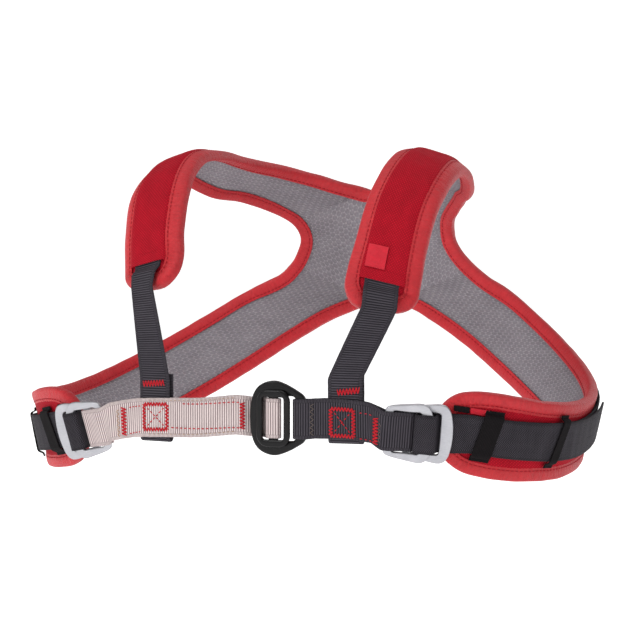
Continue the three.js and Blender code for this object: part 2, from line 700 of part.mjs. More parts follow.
// The pairs of rings: the rear ring lies on the strap, the front ring on the rear one
function turnedFrame(place, turn) {
  const frame = flatFrame(place, 14);
  const along = frame.along.clone().applyAxisAngle(frame.up, turn);
  return { ...frame, along, out: along.clone().cross(frame.up) };
}
const ringFrames = {
  1: turnedFrame(ringSpots[1], ringTurns[1]),
  '-1': turnedFrame(ringSpots[-1], ringTurns[-1]),
};
const rearRingMiddle = 7;
const frontRingMiddle = rearRingMiddle - ringStagger;

function ringBars(middle, back) {
  const [left, right, front] = [middle - ringHalf, middle + ringHalf, back + ringThickness];
  return {
    inner: { left, right: left + ringInnerBar, back, front },
    outer: { left: right - ringOuterBar, right, back, front },
  };
}
const rearBars = ringBars(rearRingMiddle, rearRingBack);
const frontBars = ringBars(frontRingMiddle, frontRingBack);

function addRings(side, name) {
  const frame = ringFrames[side];
  const rear = addNode(`adjuster_ring_rear_${name}`,
    plateGeometry(ringShape(side), ringThickness), aluminium);
  placeOnFrame(rear, frame, side * rearRingMiddle, rearRingBack);
  const front = addNode(`adjuster_ring_front_${name}`,
    plateGeometry(ringShape(side), ringThickness), aluminium);
  placeOnFrame(front, frame, side * frontRingMiddle, frontRingBack);
}

// The side strap: sewn to the back of the wing, through both rings from behind, over the
// front ring's outer bar, under the rear ring's and back along the wing as a loose tail
function sideStrapGeometry(side) {
  const frame = ringFrames[side];
  const local = (along, out) => frameStop(frame, side * along, out);
  const girth = (place, offset) => chestStop(side * place, offset);
  const under = rearBars.outer.back - webSeat - 0.08;
  const lower = under - strapStep;
  const rise = frontBars.outer.left - webSeat - 0.08;
  const dive = frontBars.outer.right + webSeat + 0.08;
  const step = 11;
  const stops = [];
  for (let place = strapSewnPlace; place > strapSeatedPlace; place -= step) {
    stops.push(girth(wingFront + place, strapSeat));
  }
  stops.push(
    local(rearBars.outer.right, lower - 0.7), local(rearBars.outer.left, lower),
    local(rise + 4, lower + 0.3), local(rise + 1.4, lower + 0.9), local(rise, lower + 2.6),
    ...cornerStops(frame, side, frontBars.outer, -1, 1, true),
    ...cornerStops(frame, side, frontBars.outer, 1, 1, false),
    local(dive, frontRingBack), local(dive + 0.7, rearRingBack + 1.2),
    ...cornerStops(frame, side, rearBars.outer, -1, -1, true).slice(1),
    local(rearBars.outer.right, under - 0.3),
  );
  for (let place = strapSeatedPlace; place < tailEndPlace; place += step) {
    stops.push(girth(wingFront + place, tailSeat));
  }
  return bandGeometry(stops, chestWebWidth, webThickness, false);
}

// The buckle: a shield-shaped ring, and a toggle that has passed through it and lies on it
const buckleFrame = flatFrame(bucklePlace, 14);
const buckleHalf = buckleLength / 2;
const buckleBack = 10.6;
const buckleFront = buckleBack + buckleThickness;
const toggleBack = buckleFront + webGap;
const buckleWindowHeight = windowHeight + 1.6;
const buckleBars = {
  ringBar: {
    left: -buckleHalf, right: -buckleHalf + buckleLeftBar, back: buckleBack, front: buckleFront,
  },
  buckleBar: {
    left: buckleHalf - buckleRightBar, right: buckleHalf, back: buckleBack, front: buckleFront,
  },
  toggleBar: {
    left: toggleBarPlace - toggleBar / 2, right: toggleBarPlace + toggleBar / 2,
    back: buckleBack + 3, front: toggleBack + 0.6,
  },
};

function buckleRingGeometry() {
  const half = buckleHeight / 2;
  // Half heights of the outline along the buckle, as shares of its half length and height
  const outline = [
    { along: -0.98, up: 0.30 },
    { along: -0.90, up: 0.62 },
    { along: -0.70, up: 0.84 },
    { along: -0.38, up: 0.98 },
    { along: -0.05, up: 1.00 },
    { along: 0.32, up: 0.90 },
    { along: 0.68, up: 0.73 },
    { along: 0.93, up: 0.58 },
    { along: 1.00, up: 0.40 },
  ];
  const upper = outline.map((p) => new THREE.Vector2(p.along * buckleHalf, p.up * half));
  const lower = outline.map((p) => new THREE.Vector2(p.along * buckleHalf, -p.up * half));
  const shape = new THREE.Shape();
  shape.moveTo(lower[0].x, lower[0].y);
  shape.splineThru(lower.slice(1));
  shape.lineTo(upper[upper.length - 1].x, upper[upper.length - 1].y);
  shape.splineThru(upper.slice(0, -1).reverse());
  shape.closePath();
  shape.holes.push(roundedBox(new THREE.Path(), -buckleHalf + buckleLeftBar,
    buckleHalf - buckleRightBar, buckleWindowHeight / 2, 2));
  return plateGeometry(shape, buckleThickness, 2);
}

const wasm = await Module();
wasm.setup();

function toSolid(geometry) {
  const bare = geometry.clone();
  bare.deleteAttribute('normal');
  bare.deleteAttribute('uv');
  const merged = mergeVertices(bare, 1e-4);
  return new wasm.Manifold(new wasm.Mesh({
    numProp: 3,
    vertProperties: merged.attributes.position.array,
    triVerts: new Uint32Array(merged.index.array),
  }));
}

function fromSolid(solid) {
  const mesh = solid.getMesh();
  const geometry = new THREE.BufferGeometry();
  geometry.setAttribute('position', new THREE.BufferAttribute(mesh.vertProperties, 3));
  geometry.setIndex(new THREE.BufferAttribute(mesh.triVerts, 1));
  return geometry;
}

// The toggle: a rounded plate with a window and a low bar across it for the webbing
function toggleGeometry() {
  const shape = roundedBox(new THREE.Shape(), -toggleLength / 2, toggleLength / 2,
    toggleHeight / 2, 8.5);
  shape.holes.push(roundedBox(new THREE.Path(), toggleWindowPlace - toggleWindow / 2,
    toggleWindowPlace + toggleWindow / 2, windowHeight / 2, 1.5));
  const plate = plateGeometry(shape, toggleThickness);
  const { back, front } = buckleBars.toggleBar;
  const bar = new THREE.BoxGeometry(toggleBar, windowHeight + 1, front - back);
  bar.translate(toggleBarPlace - togglePlace, 0, (front + back) / 2 - toggleBack);
  return fromSolid(toSolid(plate).add(toSolid(bar)));
}

const buckleRing = addNode('buckle_ring', buckleRingGeometry(), blackMetal);
placeOnFrame(buckleRing, buckleFrame, 0, buckleBack);
const toggle = addNode('buckle_toggle', toggleGeometry(), blackMetal);
placeOnFrame(toggle, buckleFrame, togglePlace, toggleBack);

// The doubled chest webbing. Its layers open round the shoulder webbing, and at its outer
// end it folds round the inner bars of both rings.
function ringEnd(side) {
  const frame = ringFrames[side];
  const local = (along, out) => frameStop(frame, side * along, out);
  const [front, rear] = [frontBars.inner, rearBars.inner];
  const reach = webSeat + 0.08;
  return [
    local(front.left - 1, front.front + reach - 0.1),
    local(front.left + 1.5, front.front + reach),
    local(front.right - 0.8, front.front + reach), local(front.right + 0.8, front.front + 0.6),
    local(rear.left + 1.2, rear.front + reach + 0.2),
    ...cornerStops(frame, side, rear, 1, 1, false),
    ...cornerStops(frame, side, rear, 1, -1, true),
    local(rear.left + 1.2, rear.back - reach), local(rear.left - 0.6, rear.back - 0.8),
    local(front.right + 0.8, front.back - reach - 0.6),
    local(front.right - 0.8, front.back - reach), local(front.left, front.back - reach),
  ];
}

// Distances of the chest webbing's two layers from the girth, opening round the shoulder
// webbing and rising to the rings
function chestRise(place) {
  return ringRise * THREE.MathUtils.smoothstep(Math.abs(place), 96, 112);
}

function chestRun(side, from, to) {
  const web = Math.abs(shoulderWebPlaces[side]);
  const half = shoulderWebWidth / 2;
  const places = [from];
  const marks = [web - half - 8, web - half - 2.5, web, web + half + 2.5, web + half + 7];
  const gap = 9;
  for (const mark of [...marks, to]) {
    const last = places[places.length - 1];
    const parts = Math.max(Math.ceil((mark - last) / gap), 1);
    if (mark > last + 1) {
      for (let i = 1; i <= parts; i += 1) places.push(last + (mark - last) * (i / parts));
    }
  }
  const dips = (place) => place > marks[1] - 0.5 && place < marks[3] + 0.5;
  const front = places.map((place) => chestStop(side * place, frontLayer + chestRise(place)));
  const back = places.map((place) => chestStop(side * place,
    frontLayer + chestRise(place) - strapStep - (dips(place) ? strapStep + 2 * webCurve : 0)));
  return { front, back: back.reverse() };
}

const chestEnds = {
  1: ringSpots[1] + frontBars.inner.left - 8,
  '-1': -ringSpots[-1] + frontBars.inner.left - 8,
};

function chestWebLeft() {
  const { buckleBar } = buckleBars;
  const run = chestRun(1, bucklePlace + buckleBar.right + 6, chestEnds[1]);
  return [
    ...cornerStops(buckleFrame, 1, buckleBar, -1, 1, true),
    frameStop(buckleFrame, buckleBar.right, buckleBar.front + webSeat),
    ...run.front, ...ringEnd(1), ...run.back,
    frameStop(buckleFrame, buckleBar.right, buckleBar.back - webSeat - 0.1),
    ...cornerStops(buckleFrame, 1, buckleBar, -1, -1, false),
  ];
}

function chestWebRight() {
  const local = (along, out) => frameStop(buckleFrame, along, out);
  const { ringBar, toggleBar } = buckleBars;
  const under = ringBar.back - webSeat - 0.08;
  const lower = under - strapStep;
  const run = chestRun(-1, -(bucklePlace + ringBar.left - 6), chestEnds[-1]);
  return [
    local(ringBar.left, under), local(ringBar.right - 1, under),
    local(ringBar.right + webSeat, ringBar.back), local(toggleBar.left - webSeat, ringBar.front),
    ...cornerStops(buckleFrame, 1, toggleBar, -1, 1, true),
    ...cornerStops(buckleFrame, 1, toggleBar, 1, 1, false),
    ...cornerStops(buckleFrame, 1, toggleBar, 1, -1, true),
    local(toggleBar.left + 2, toggleBar.back - webSeat - 0.08),
    local(ringBar.right + 1.6, ringBar.back - webSeat - 0.3), local(ringBar.right, lower),
    local(ringBar.left, lower),
    ...run.back.reverse(), ...ringEnd(-1).reverse(), ...run.front.reverse(),
  ];
}

addNode('chest_web_left', bandGeometry(chestWebLeft(), chestWebWidth, webThickness, true),
  charcoal);
addNode('chest_web_right', bandGeometry(chestWebRight(), chestWebWidth, webThickness, true),
  sand);

// A flat strip on the pad between two rows
function padStrip(side, rows, low, high, bottom, top) {
  const sections = rows.map((row) => {
    const [a, b] = [low(row), high(row)];
    const columns = [a, b];
    return [
      ...columns.map((across) => padAt(side, row, across, bottom)),
      ...columns.reverse().map((across) => padAt(side, row, across, top)),
    ];
  });
  return sweptGeometry(sections, false);
}

function rowsBetween(from, to) {
  const inside = rowsOfPad.filter((row) => row > from + 0.2 && row < to - 0.2);
  return [from, ...inside, to];
}

// The cloth facing under the side strap fills the wing between its two bound edges
const facingFrom = 18.2;
const facingTo = lastRow - 1.8;
function facingGeometry(side) {
  const margin = (row, rim) => shareAt(side, row, rim, bindingWidth + 2 * layerGap);
  return padStrip(side, rowsBetween(facingFrom, facingTo), (row) => margin(row, 0),
    (row) => 1 - margin(row, 1), facingBottom, facingTop);
}

// A row of the shoulder pad seen along it: its middle, the way across and outwards
function padFrame(side, row) {
  const at = padAt(side, row, 0.5, 0);
  const wide = padAt(side, row, 0.52, 0).sub(padAt(side, row, 0.48, 0)).normalize()
    .multiplyScalar(side);
  const out = padNormal(side, row, 0.5);
  out.x *= side;
  return { at, wide, out };
}

// The sleeve on the shoulder pad is a channel over the shoulder webbing, open at its mouth
const sleeveMouth = 0.95;
const sleeveEnd = 12.6;
const sleeveSide = 0.8;
const webInSleeve = facingBottom + 0.2 + webThickness / 2;
const sleeveInside = webInSleeve + webThickness / 2 + webGap;
const sleeveTop = sleeveInside + sleeveWall;
const sleeveHalf = (shoulderWebWidth / 2) + 0.3 + sleeveSide;
function sleeveGeometry(side) {
  const sections = rowsBetween(sleeveMouth, sleeveEnd).map((row) => {
    const frame = padFrame(side, row);
    const corner = (across, height) => frame.at.clone()
      .addScaledVector(frame.wide, across * side).addScaledVector(frame.out, height);
    const free = 0.5 - Math.max(...[0, 1].map(
      (rim) => shareAt(side, row, rim, bindingWidth + 1.5 * layerGap)));
    const outer = Math.min(sleeveHalf, padWide(side, row) * free);
    const inner = outer - sleeveSide;
    return [
      corner(-outer, facingBottom), corner(-outer, sleeveTop), corner(outer, sleeveTop),
      corner(outer, facingBottom), corner(inner, facingBottom), corner(inner, sleeveInside),
      corner(-inner, sleeveInside), corner(-inner, facingBottom),
    ];
  });
  return sweptGeometry(sections, false);
}

// The shoulder webbing lies in the sleeve, leaves it over the pad's bound end, passes
// behind the chest webbing's front layer, loops round the back layer and is sewn to itself
const shoulderWebHidden = 6.5;
const endSlack = 2.1;         // room between the pad's bound end and the webbing over it
function shoulderWebGeometry(side) {
  const place = shoulderWebPlaces[side];
  const inFront = frontLayer - strapStep - webCurve;
  const behind = inFront - 2 * strapStep - 2 * webCurve;
  const half = chestWebWidth / 2;
  const along = girthFrame(place).along;
  const chest = (rise, offset) => (
    { at: chestStop(place, offset, rise).at, wide: along.clone() });
  const onPad = (row, height) => {
    const frame = padFrame(side, row);
    return { at: frame.at.addScaledVector(frame.out, height), wide: frame.wide };
  };
  const stops = rowsBetween(sleeveMouth, shoulderWebHidden).reverse()
    .map((row) => onPad(row, webInSleeve));
  const overEnd = bindingTop + endSlack + webGap + webThickness / 2;
  stops.push(onPad(sleeveMouth - 0.2, webInSleeve + 0.3));
  stops.push(onPad(0.5, overEnd), onPad(0, overEnd));
  const top = chest(half + 14, inFront);
  const from = stops[stops.length - 1];
  for (const share of [0.35, 0.7]) {
    const wide = from.wide.clone().lerp(top.wide, share).normalize();
    stops.push({ at: from.at.clone().lerp(top.at, share), wide });
  }
  const low = -half - 1;
  const turned = inFront - strapStep;
  stops.push(
    top, chest(half + 5, inFront), chest(0, inFront), chest(low, inFront),
    chest(low - 1.3, inFront - 0.7), chest(low - 2, turned),
    chest(low - 1.3, behind + 0.7), chest(low, behind), chest(0, behind),
    chest(shoulderWebRise, behind),
  );
  return bandGeometry(stops, shoulderWebWidth, webThickness, false, side > 0);
}

// Elastic keepers bridge the side strap and its tail, leaning forward at their foot
function keeperGeometry(side, place, width) {
  const half = chestWebWidth / 2;
  const over = tailSeat + webThickness / 2 + webGap + keeperThickness / 2;
  const foot = strapSeat - webThickness / 2 + keeperThickness / 2;
  const slant = 0.3;
  const profile = [
    [half + 4.5, foot], [half + 2, foot + 0.2], [half + 0.8, over - 0.6], [half - 0.6, over],
    [half / 2, over], [0, over], [-half / 2, over], [-half + 0.6, over],
    [-half - 0.8, over - 0.6], [-half - 2, foot + 0.2], [-half - 4.5, foot],
  ];
  const stops = profile.map(([rise, offset]) => {
    const spot = side * (wingFront + place + slant * rise);
    const at = chestStop(spot, offset, rise).at;
    return { at, wide: chestStop(spot + 1, offset, rise).at.sub(at).normalize() };
  });
  return bandGeometry(stops, width, keeperThickness, false);
}

// A short black tab whose end shows above the side strap behind the rings
function tabGeometry(side) {
  const half = chestWebWidth / 2;
  const foot = strapSeat - webThickness / 2 + keeperThickness / 2;
  const stops = [half + 0.5, half + 4.5].map((rise) => {
    const place = wingFront + strapTabPlace;
    const at = chestStop(side * place, foot, rise).at;
    const wide = chestStop(side * (place + 1), foot, rise).at.sub(at).normalize();
    return { at, wide: wide.multiplyScalar(side) };
  });
  return bandGeometry(stops, strapTabWidth, keeperThickness, false);
}

// A blank woven tag lies on the sleeve of the pad on +X
function tagGeometry() {
  const rows = [0, 0.5, 1].map((share) => tagRow + share * tagHeight / padRowLength);
  const sections = rows.map((row) => {
    const frame = padFrame(1, row);
    const corner = (across, height) => frame.at.clone()
      .addScaledVector(frame.wide, across).addScaledVector(frame.out, height);
    const bottom = sleeveTop + layerGap;
    const left = -sleeveHalf;
    return [
      corner(left, bottom), corner(left + tagWidth, bottom),
      corner(left + tagWidth, bottom + tagThickness), corner(left, bottom + tagThickness),
    ];
  });
  return sweptGeometry(sections, false);
}

for (const [side, name] of [[1, 'left'], [-1, 'right']]) {
  addRings(side, name);
  addNode(`side_strap_${name}`, sideStrapGeometry(side), charcoal);
  addNode(`shoulder_web_${name}`, shoulderWebGeometry(side), charcoal);
  addNode(`shoulder_sleeve_${name}`, sleeveGeometry(side), darkRed);
  addNode(`wing_facing_${name}`, facingGeometry(side), darkRed);
  addNode(`front_keeper_${name}`,
    keeperGeometry(side, frontKeeperPlace, frontKeeperWidth), black);
  addNode(`back_keeper_${name}`,
    keeperGeometry(side, backKeeperPlace, backKeeperWidth), black);
  addNode(`strap_tab_${name}`, tabGeometry(side), black);
}
addNode('size_tag', tagGeometry(), red);

addNode('mesh_lining', padLayer(0, liningTop, padInset), grey);
addNode('padded_yoke', padLayer(paddingBottom, paddingTop, padInset), red);
addNode('edge_binding', bindingGeometry(), red);

export default harness;
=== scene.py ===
"""Climbing chest harness: padded yoke, bound edges, webbing, adjuster rings and buckle.

Shapes are worked out in millimetres as whole arrays and put into the meshes in metres.
+X is the wearer's left, +Y the wearer's back, +Z up; the origin lies between the shoulder crests.
"""
import math

import bpy
import bmesh
import numpy as np
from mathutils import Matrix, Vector


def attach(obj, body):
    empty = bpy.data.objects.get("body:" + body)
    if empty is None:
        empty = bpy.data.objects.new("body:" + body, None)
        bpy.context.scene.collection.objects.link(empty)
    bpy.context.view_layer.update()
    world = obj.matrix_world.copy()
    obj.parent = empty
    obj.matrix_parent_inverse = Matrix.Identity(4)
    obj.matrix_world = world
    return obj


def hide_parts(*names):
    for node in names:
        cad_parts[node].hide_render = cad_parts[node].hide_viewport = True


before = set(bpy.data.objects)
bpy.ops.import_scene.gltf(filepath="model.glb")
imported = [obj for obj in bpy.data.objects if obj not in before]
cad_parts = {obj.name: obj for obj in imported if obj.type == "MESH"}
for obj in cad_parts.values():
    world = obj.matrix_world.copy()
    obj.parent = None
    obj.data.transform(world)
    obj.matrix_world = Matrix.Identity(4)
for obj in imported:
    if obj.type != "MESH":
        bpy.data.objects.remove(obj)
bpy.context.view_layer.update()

bl_info = {
    "name": "Climbing chest harness",
    "version": (1, 0, 0),
    "blender": (4, 5, 0),
    "location": "3D View > Sidebar > Harness",
    "description": "Builds a padded chest harness round its packed frame",
    "category": "Object",
}

MM = 0.001
TURN = 2 * math.pi
BODY = "root"

# Sizes of the whole harness
GIRTH_HALF_WIDTH = 219.0
GIRTH_FRONT = 110.0
GIRTH_BACK = 151.0
SQUARENESS = 2.4
FRONT_DROP = 190.0
NECK_HALF = 73.0
PAD_WIDTH = 50.0
RIB_LEAN = 0.22
RIB_LEAN_HEIGHT = -150.0
PAD_SKEW = 6.0
WING_SKEW = 5.0
GIRTH_SHIFT = -3.0

# Layers of the pad, counted outwards from its inner face
LINING_TOP = 1.0
PADDING_BOTTOM = 1.35
PADDING_TOP = 4.75
FACING_BOTTOM = 5.1
FACING_TOP = 6.1
BINDING_WIDTH = 10.5
BINDING_TOP = 6.5
BINDING_BOTTOM = -1.75
PAD_INSET = 3.0
PAD_END_RADIUS = 17.0
WING_END_RADIUS = 21.0

# Webbing
WEB_THICKNESS = 1.6
CHEST_WEB_WIDTH = 28.0
SHOULDER_WEB_WIDTH = 25.0
WEB_GAP = 0.4
WEB_SEAT = WEB_GAP + WEB_THICKNESS / 2
WEB_CURVE = 0.4
STRAP_STEP = WEB_THICKNESS + WEB_GAP
SHOULDER_WEB_PLACES = {1: 81.0, -1: 66.0}
SHOULDER_WEB_RISE = 31.0
SHOULDER_WEB_HIDDEN = 6.5
END_SLACK = 2.1
TAIL_END = 322.0
STRAP_SEWN_END = 376.0
STRAP_SLACK = {1: 3.0, -1: 0.6}
STRAP_SEAT = 7.95
TAIL_SEAT = 9.95
FRONT_LAYER = 14.6
RING_RISE = 3.2

# Adjuster rings
RING_LENGTH = 34.0
RING_HALF = RING_LENGTH / 2
RING_OUTER_HEIGHT = 42.5
RING_INNER_HEIGHT = 35.0
RING_THICKNESS = 3.0
RING_OUTER_BAR = 8.5
RING_INNER_BAR = 5.6
RING_PLACES = {1: 131.0, -1: 135.5}
RING_TURNS = {1: 0.0, -1: 0.2}
REAR_RING_BACK = 10.5
FRONT_RING_BACK = 13.85
REAR_RING_MIDDLE = 7.0
FRONT_RING_MIDDLE = -6.0
RING_WINDOW_HEIGHT = 29.6

# Buckle
BUCKLE_PLACE = 32.2
BUCKLE_LENGTH = 42.5
BUCKLE_HEIGHT = 52.0
BUCKLE_THICKNESS = 4.0
BUCKLE_LEFT_BAR = 8.5
BUCKLE_RIGHT_BAR = 7.8
BUCKLE_BACK = 10.6
BUCKLE_WINDOW_HEIGHT = 31.2
TOGGLE_PLACE = -2.3
TOGGLE_LENGTH = 25.0
TOGGLE_HEIGHT = 40.0
TOGGLE_THICKNESS = 3.5
TOGGLE_WINDOW = 16.2
TOGGLE_WINDOW_PLACE = -0.1
TOGGLE_BAR = 7.2
TOGGLE_BAR_PLACE = -3.0
TOGGLE_BACK = 15.0

# Keepers, tabs and tag
KEEPER_THICKNESS = 0.9
KEEPER_SLANT = 0.3
FRONT_KEEPER = (179.0, 14.0)
BACK_KEEPER = (237.0, 8.0)
STRAP_TAB = (161.0, 11.0)
SATIN_TAB = (173.5, 13.5)
SLEEVE_MOUTH = 0.95
SLEEVE_END = 12.6
SLEEVE_TOP = 8.3
WEB_IN_SLEEVE = 6.1
TAG_SIZE = (14.5, 12.0)
TAG_ROW = 1.36
PAD_ROW_LENGTH = 20.0
FACING_ROWS = (18.2, 29.2)

# Rows of the yoke from the pad's front end over the shoulder to the middle of the back:
# neck edge x, pad width, depth of neck and arm edge, height of neck and arm edge, bow
YOKE_ROWS = np.array([
    (0.90, 0.94, -0.80, -0.60, -0.540, -0.575, 0),
    (0.88, 1.02, -0.68, -0.57, -0.430, -0.490, 3),
    (0.93, 1.00, -0.60, -0.53, -0.315, -0.370, 4),
    (0.97, 1.00, -0.475, -0.44, -0.178, -0.241, 4),
    (1.00, 0.98, -0.325, -0.316, -0.085, -0.170, 4),
    (1.01, 0.96, -0.155, -0.145, -0.031, -0.115, 4),
    (1.00, 0.96, 0.013, 0.026, -0.016, -0.089, 4),
    (1.00, 0.92, 0.16, 0.16, -0.016, -0.103, 3),
    (0.97, 0.86, 0.295, 0.28, -0.029, -0.143, 3),
    (0.88, 0.84, 0.445, 0.40, -0.043, -0.175, 2),
    (0.71, 0.88, 0.60, 0.52, -0.063, -0.187, 2),
    (0.48, 1.04, 0.70, 0.63, -0.090, -0.210, 2),
    (0.205, 1.24, 0.775, 0.735, -0.126, -0.242, 1),
    (0.00, 1.38, 0.81, 0.815, -0.142, -0.279, 1),
    (0.00, 1.32, 0.887, 0.868, -0.263, -0.321, 1),
    (0.00, 1.33, 0.96, 0.894, -0.400, -0.363, 1),
    (0.00, 1.44, 1.013, 0.92, -0.526, -0.416, 1),
    (0.00, 1.60, 1.04, 0.947, -0.620, -0.463, 1),
    (0.27, 1.44, 1.04, 0.96, -0.637, -0.510, 1),
])
# Rows of the wing from the back to its front end: girth and height of arm and low edge
WING_ROWS = np.array([
    (0.798, -0.578, 0.922, -0.695),
    (0.751, -0.663, 0.872, -0.784),
    (0.698, -0.753, 0.815, -0.895),
    (0.640, -0.834, 0.750, -1.010),
    (0.581, -0.894, 0.678, -1.110),
    (0.519, -0.928, 0.602, -1.168),
    (0.454, -0.935, 0.525, -1.200),
    (0.397, -0.926, 0.450, -1.221),
    (0.351, -0.905, 0.385, -1.223),
    (0.318, -0.890, 0.338, -1.216),
    (0.290, -0.888, 0.300, -1.200),
    (0.265, -0.903, 0.268, -1.172),
    (0.244, -0.925, 0.244, -1.140),
])
# Height of the middle of the webbing along the girth
WEB_HEIGHTS = np.array([
    (0.00, -0.968), (0.05, -0.980), (0.14, -0.984), (0.20, -1.012), (0.27, -1.038),
    (0.34, -1.072), (0.42, -1.090), (0.50, -1.078), (0.60, -1.010), (0.70, -0.900),
])
TOP_NOTCH = 13
BOTTOM_NOTCH = 17
LAST_ROW = len(YOKE_ROWS) + len(WING_ROWS) - 1


def unit(vectors):
    """Each vector divided by its length."""
    return vectors / np.linalg.norm(vectors, axis=-1, keepdims=True)


def smooth_step(value, start, end):
    """0 before start, 1 after end, and 3f^2 - 2f^3 of the share f in between."""
    share = np.clip((value - start) / (end - start), 0, 1)
    return share * share * (3 - 2 * share)


def smooth_at(points, places):
    """Catmull-Rom curve: a point is the cubic blend of the four stops round its place."""
    points = np.asarray(points, float).reshape(len(points), -1)
    places = np.asarray(places, float)
    before = 2 * points[0] - points[1]
    after = 2 * points[-1] - points[-2]
    stops = np.vstack([before, points, after])
    step = np.clip(np.floor(places).astype(int), 0, len(points) - 2)
    f = (places - step)[..., None]
    weights = (
        -0.5 * f + f ** 2 - 0.5 * f ** 3,
        1 - 2.5 * f ** 2 + 1.5 * f ** 3,
        0.5 * f + 2 * f ** 2 - 1.5 * f ** 3,
        -0.5 * f ** 2 + 0.5 * f ** 3,
    )
    return sum(weight * stops[step + i] for i, weight in enumerate(weights))


def girth_walk():
    """Plan outline of the chest: x = a |cos t|^(2/n), y = b sign(sin t) |sin t|^(2/n)."""
    angle = np.linspace(-np.pi / 2, np.pi / 2, 721)
    depth = np.where(angle < 0, GIRTH_FRONT, GIRTH_BACK)
    power = 2 / SQUARENESS
    x = GIRTH_HALF_WIDTH * np.abs(np.cos(angle)) ** power
    y = depth * np.sign(np.sin(angle)) * np.abs(np.sin(angle)) ** power
    steps = np.hypot(np.diff(x), np.diff(y))
    return x, y, np.concatenate([[0], np.cumsum(steps)])


WALK_X, WALK_Y, WALK_LENGTH = girth_walk()
HALF_GIRTH = WALK_LENGTH[-1]


def girth_frame(place):
    """Position on the plan outline, direction along it and outward normal, by chord."""
    place = np.asarray(place, float)
    side = np.where(place < 0, -1.0, 1.0)
    reach = 6.0
    walked = np.abs(place)

    def spot(length):
        length = np.clip(length, 0, HALF_GIRTH)
        return np.interp(length, WALK_LENGTH, WALK_X), np.interp(length, WALK_LENGTH, WALK_Y)

    x, y = spot(walked)
    x1, y1 = spot(walked - reach)
    x2, y2 = spot(walked + reach)
    flat = np.zeros_like(x)
    along = unit(np.stack([x2 - x1, y2 - y1], -1))
    along = unit(np.stack([along[..., 0], along[..., 1] * np.minimum(walked / reach, 1)], -1))
    out = np.stack([along[..., 1] * side, -along[..., 0], flat], -1)
    direction = np.stack([along[..., 0], along[..., 1] * side, flat], -1)
    return np.stack([x * side, y, flat], -1), direction, out


def girth_point(place, z, offset):
    """Outline point moved outwards by its offset and by the lean for each mm of height."""
    place, z, offset = np.broadcast_arrays(
        np.asarray(place, float), np.asarray(z, float), np.asarray(offset, float))
    position, _, out = girth_frame(place)
    upright = RIB_LEAN * (-FRONT_DROP - RIB_LEAN_HEIGHT)
    lean = RIB_LEAN * smooth_step(np.abs(place), 60, 150)
    leaning = lean * (z - RIB_LEAN_HEIGHT) + (1 - lean / RIB_LEAN) * upright
    point = position + out * (offset + leaning)[..., None]
    point[..., 0] += GIRTH_SHIFT
    point[..., 2] = z
    return point


def web_height(place):
    """Height of the webbing's middle: a smooth curve through the table, skewed sideways."""
    place = np.asarray(place, float)
    share = np.abs(place) / HALF_GIRTH
    stops = np.interp(share, WEB_HEIGHTS[:, 0], np.arange(len(WEB_HEIGHTS)))
    ramp = np.clip(share / WEB_HEIGHTS[4, 0], 0, 1)
    return (FRONT_DROP * smooth_at(WEB_HEIGHTS[:, 1], stops)[..., 0]
            + WING_SKEW * np.sign(place) * ramp)


def edge_points(side):
    """Neck and arm edge of one half of the yoke, as stops in the +X half space."""
    rows = np.arange(len(YOKE_ROWS))
    lift = -side * PAD_SKEW * np.maximum(6 - rows, 0) / 6

    def depth(share):
        return share * np.where(share < 0, GIRTH_FRONT, GIRTH_BACK)

    x = YOKE_ROWS[:, 0] * NECK_HALF
    neck = np.stack([x, depth(YOKE_ROWS[:, 2]), YOKE_ROWS[:, 4] * FRONT_DROP + lift], -1)
    arm = np.stack([x + YOKE_ROWS[:, 1] * PAD_WIDTH, depth(YOKE_ROWS[:, 3]),
                    YOKE_ROWS[:, 5] * FRONT_DROP + lift], -1)
    rise = side * WING_SKEW * np.arange(len(WING_ROWS)) / (len(WING_ROWS) - 1)

    def on_wing(share, height):
        point = girth_point(side * share * HALF_GIRTH, height * FRONT_DROP + rise, 0)
        return point * [side, 1, 1]

    arm = np.vstack([arm, on_wing(WING_ROWS[:, 0], WING_ROWS[:, 1])])
    neck = np.vstack([neck, on_wing(WING_ROWS[:, 2], WING_ROWS[:, 3])])
    return neck, arm


EDGES = {side: edge_points(side) for side in (1, -1)}
BOWS = np.concatenate([YOKE_ROWS[:, 6], np.zeros(len(WING_ROWS))])


def neck_edge_at(side, row):
    """Inner edge: along the neck, down the middle of the back, then along the wing."""
    neck = EDGES[side][0]
    mirror = np.array([-1, 1, 1])
    upper = np.vstack([neck[:TOP_NOTCH + 1], neck[TOP_NOTCH - 1] * mirror])
    middle = neck[TOP_NOTCH:BOTTOM_NOTCH + 1]
    lower = np.vstack([neck[BOTTOM_NOTCH + 1] * mirror, neck[BOTTOM_NOTCH:]])
    above = (row < TOP_NOTCH)[..., None]
    below = (row > BOTTOM_NOTCH)[..., None]
    return np.where(
        above, smooth_at(upper, np.minimum(row, TOP_NOTCH)),
        np.where(below, smooth_at(lower, np.maximum(row, BOTTOM_NOTCH) - BOTTOM_NOTCH + 1),
                 smooth_at(middle, np.clip(row, TOP_NOTCH, BOTTOM_NOTCH) - TOP_NOTCH)))


def pad_point(side, row, across):
    """Pad's inner face: the straight line from the neck edge, 0, to the arm edge, 1."""
    row, across = np.broadcast_arrays(np.asarray(row, float), np.asarray(across, float))
    inner = neck_edge_at(side, row)
    outer = smooth_at(EDGES[side][1], row)
    return inner + (outer - inner) * across[..., None]


def pad_normal(side, row, across):
    """Outward normal of the inner face: width crossed with the way along."""
    step = 0.02
    row, across = np.broadcast_arrays(np.asarray(row, float), np.asarray(across, float))
    low = np.maximum(row - step, 0)
    high = np.minimum(row + step, LAST_ROW)
    along = pad_point(side, high, across) - pad_point(side, low, across)
    wide = pad_point(side, row, 1) - pad_point(side, row, 0)
    return unit(np.cross(wide, along))


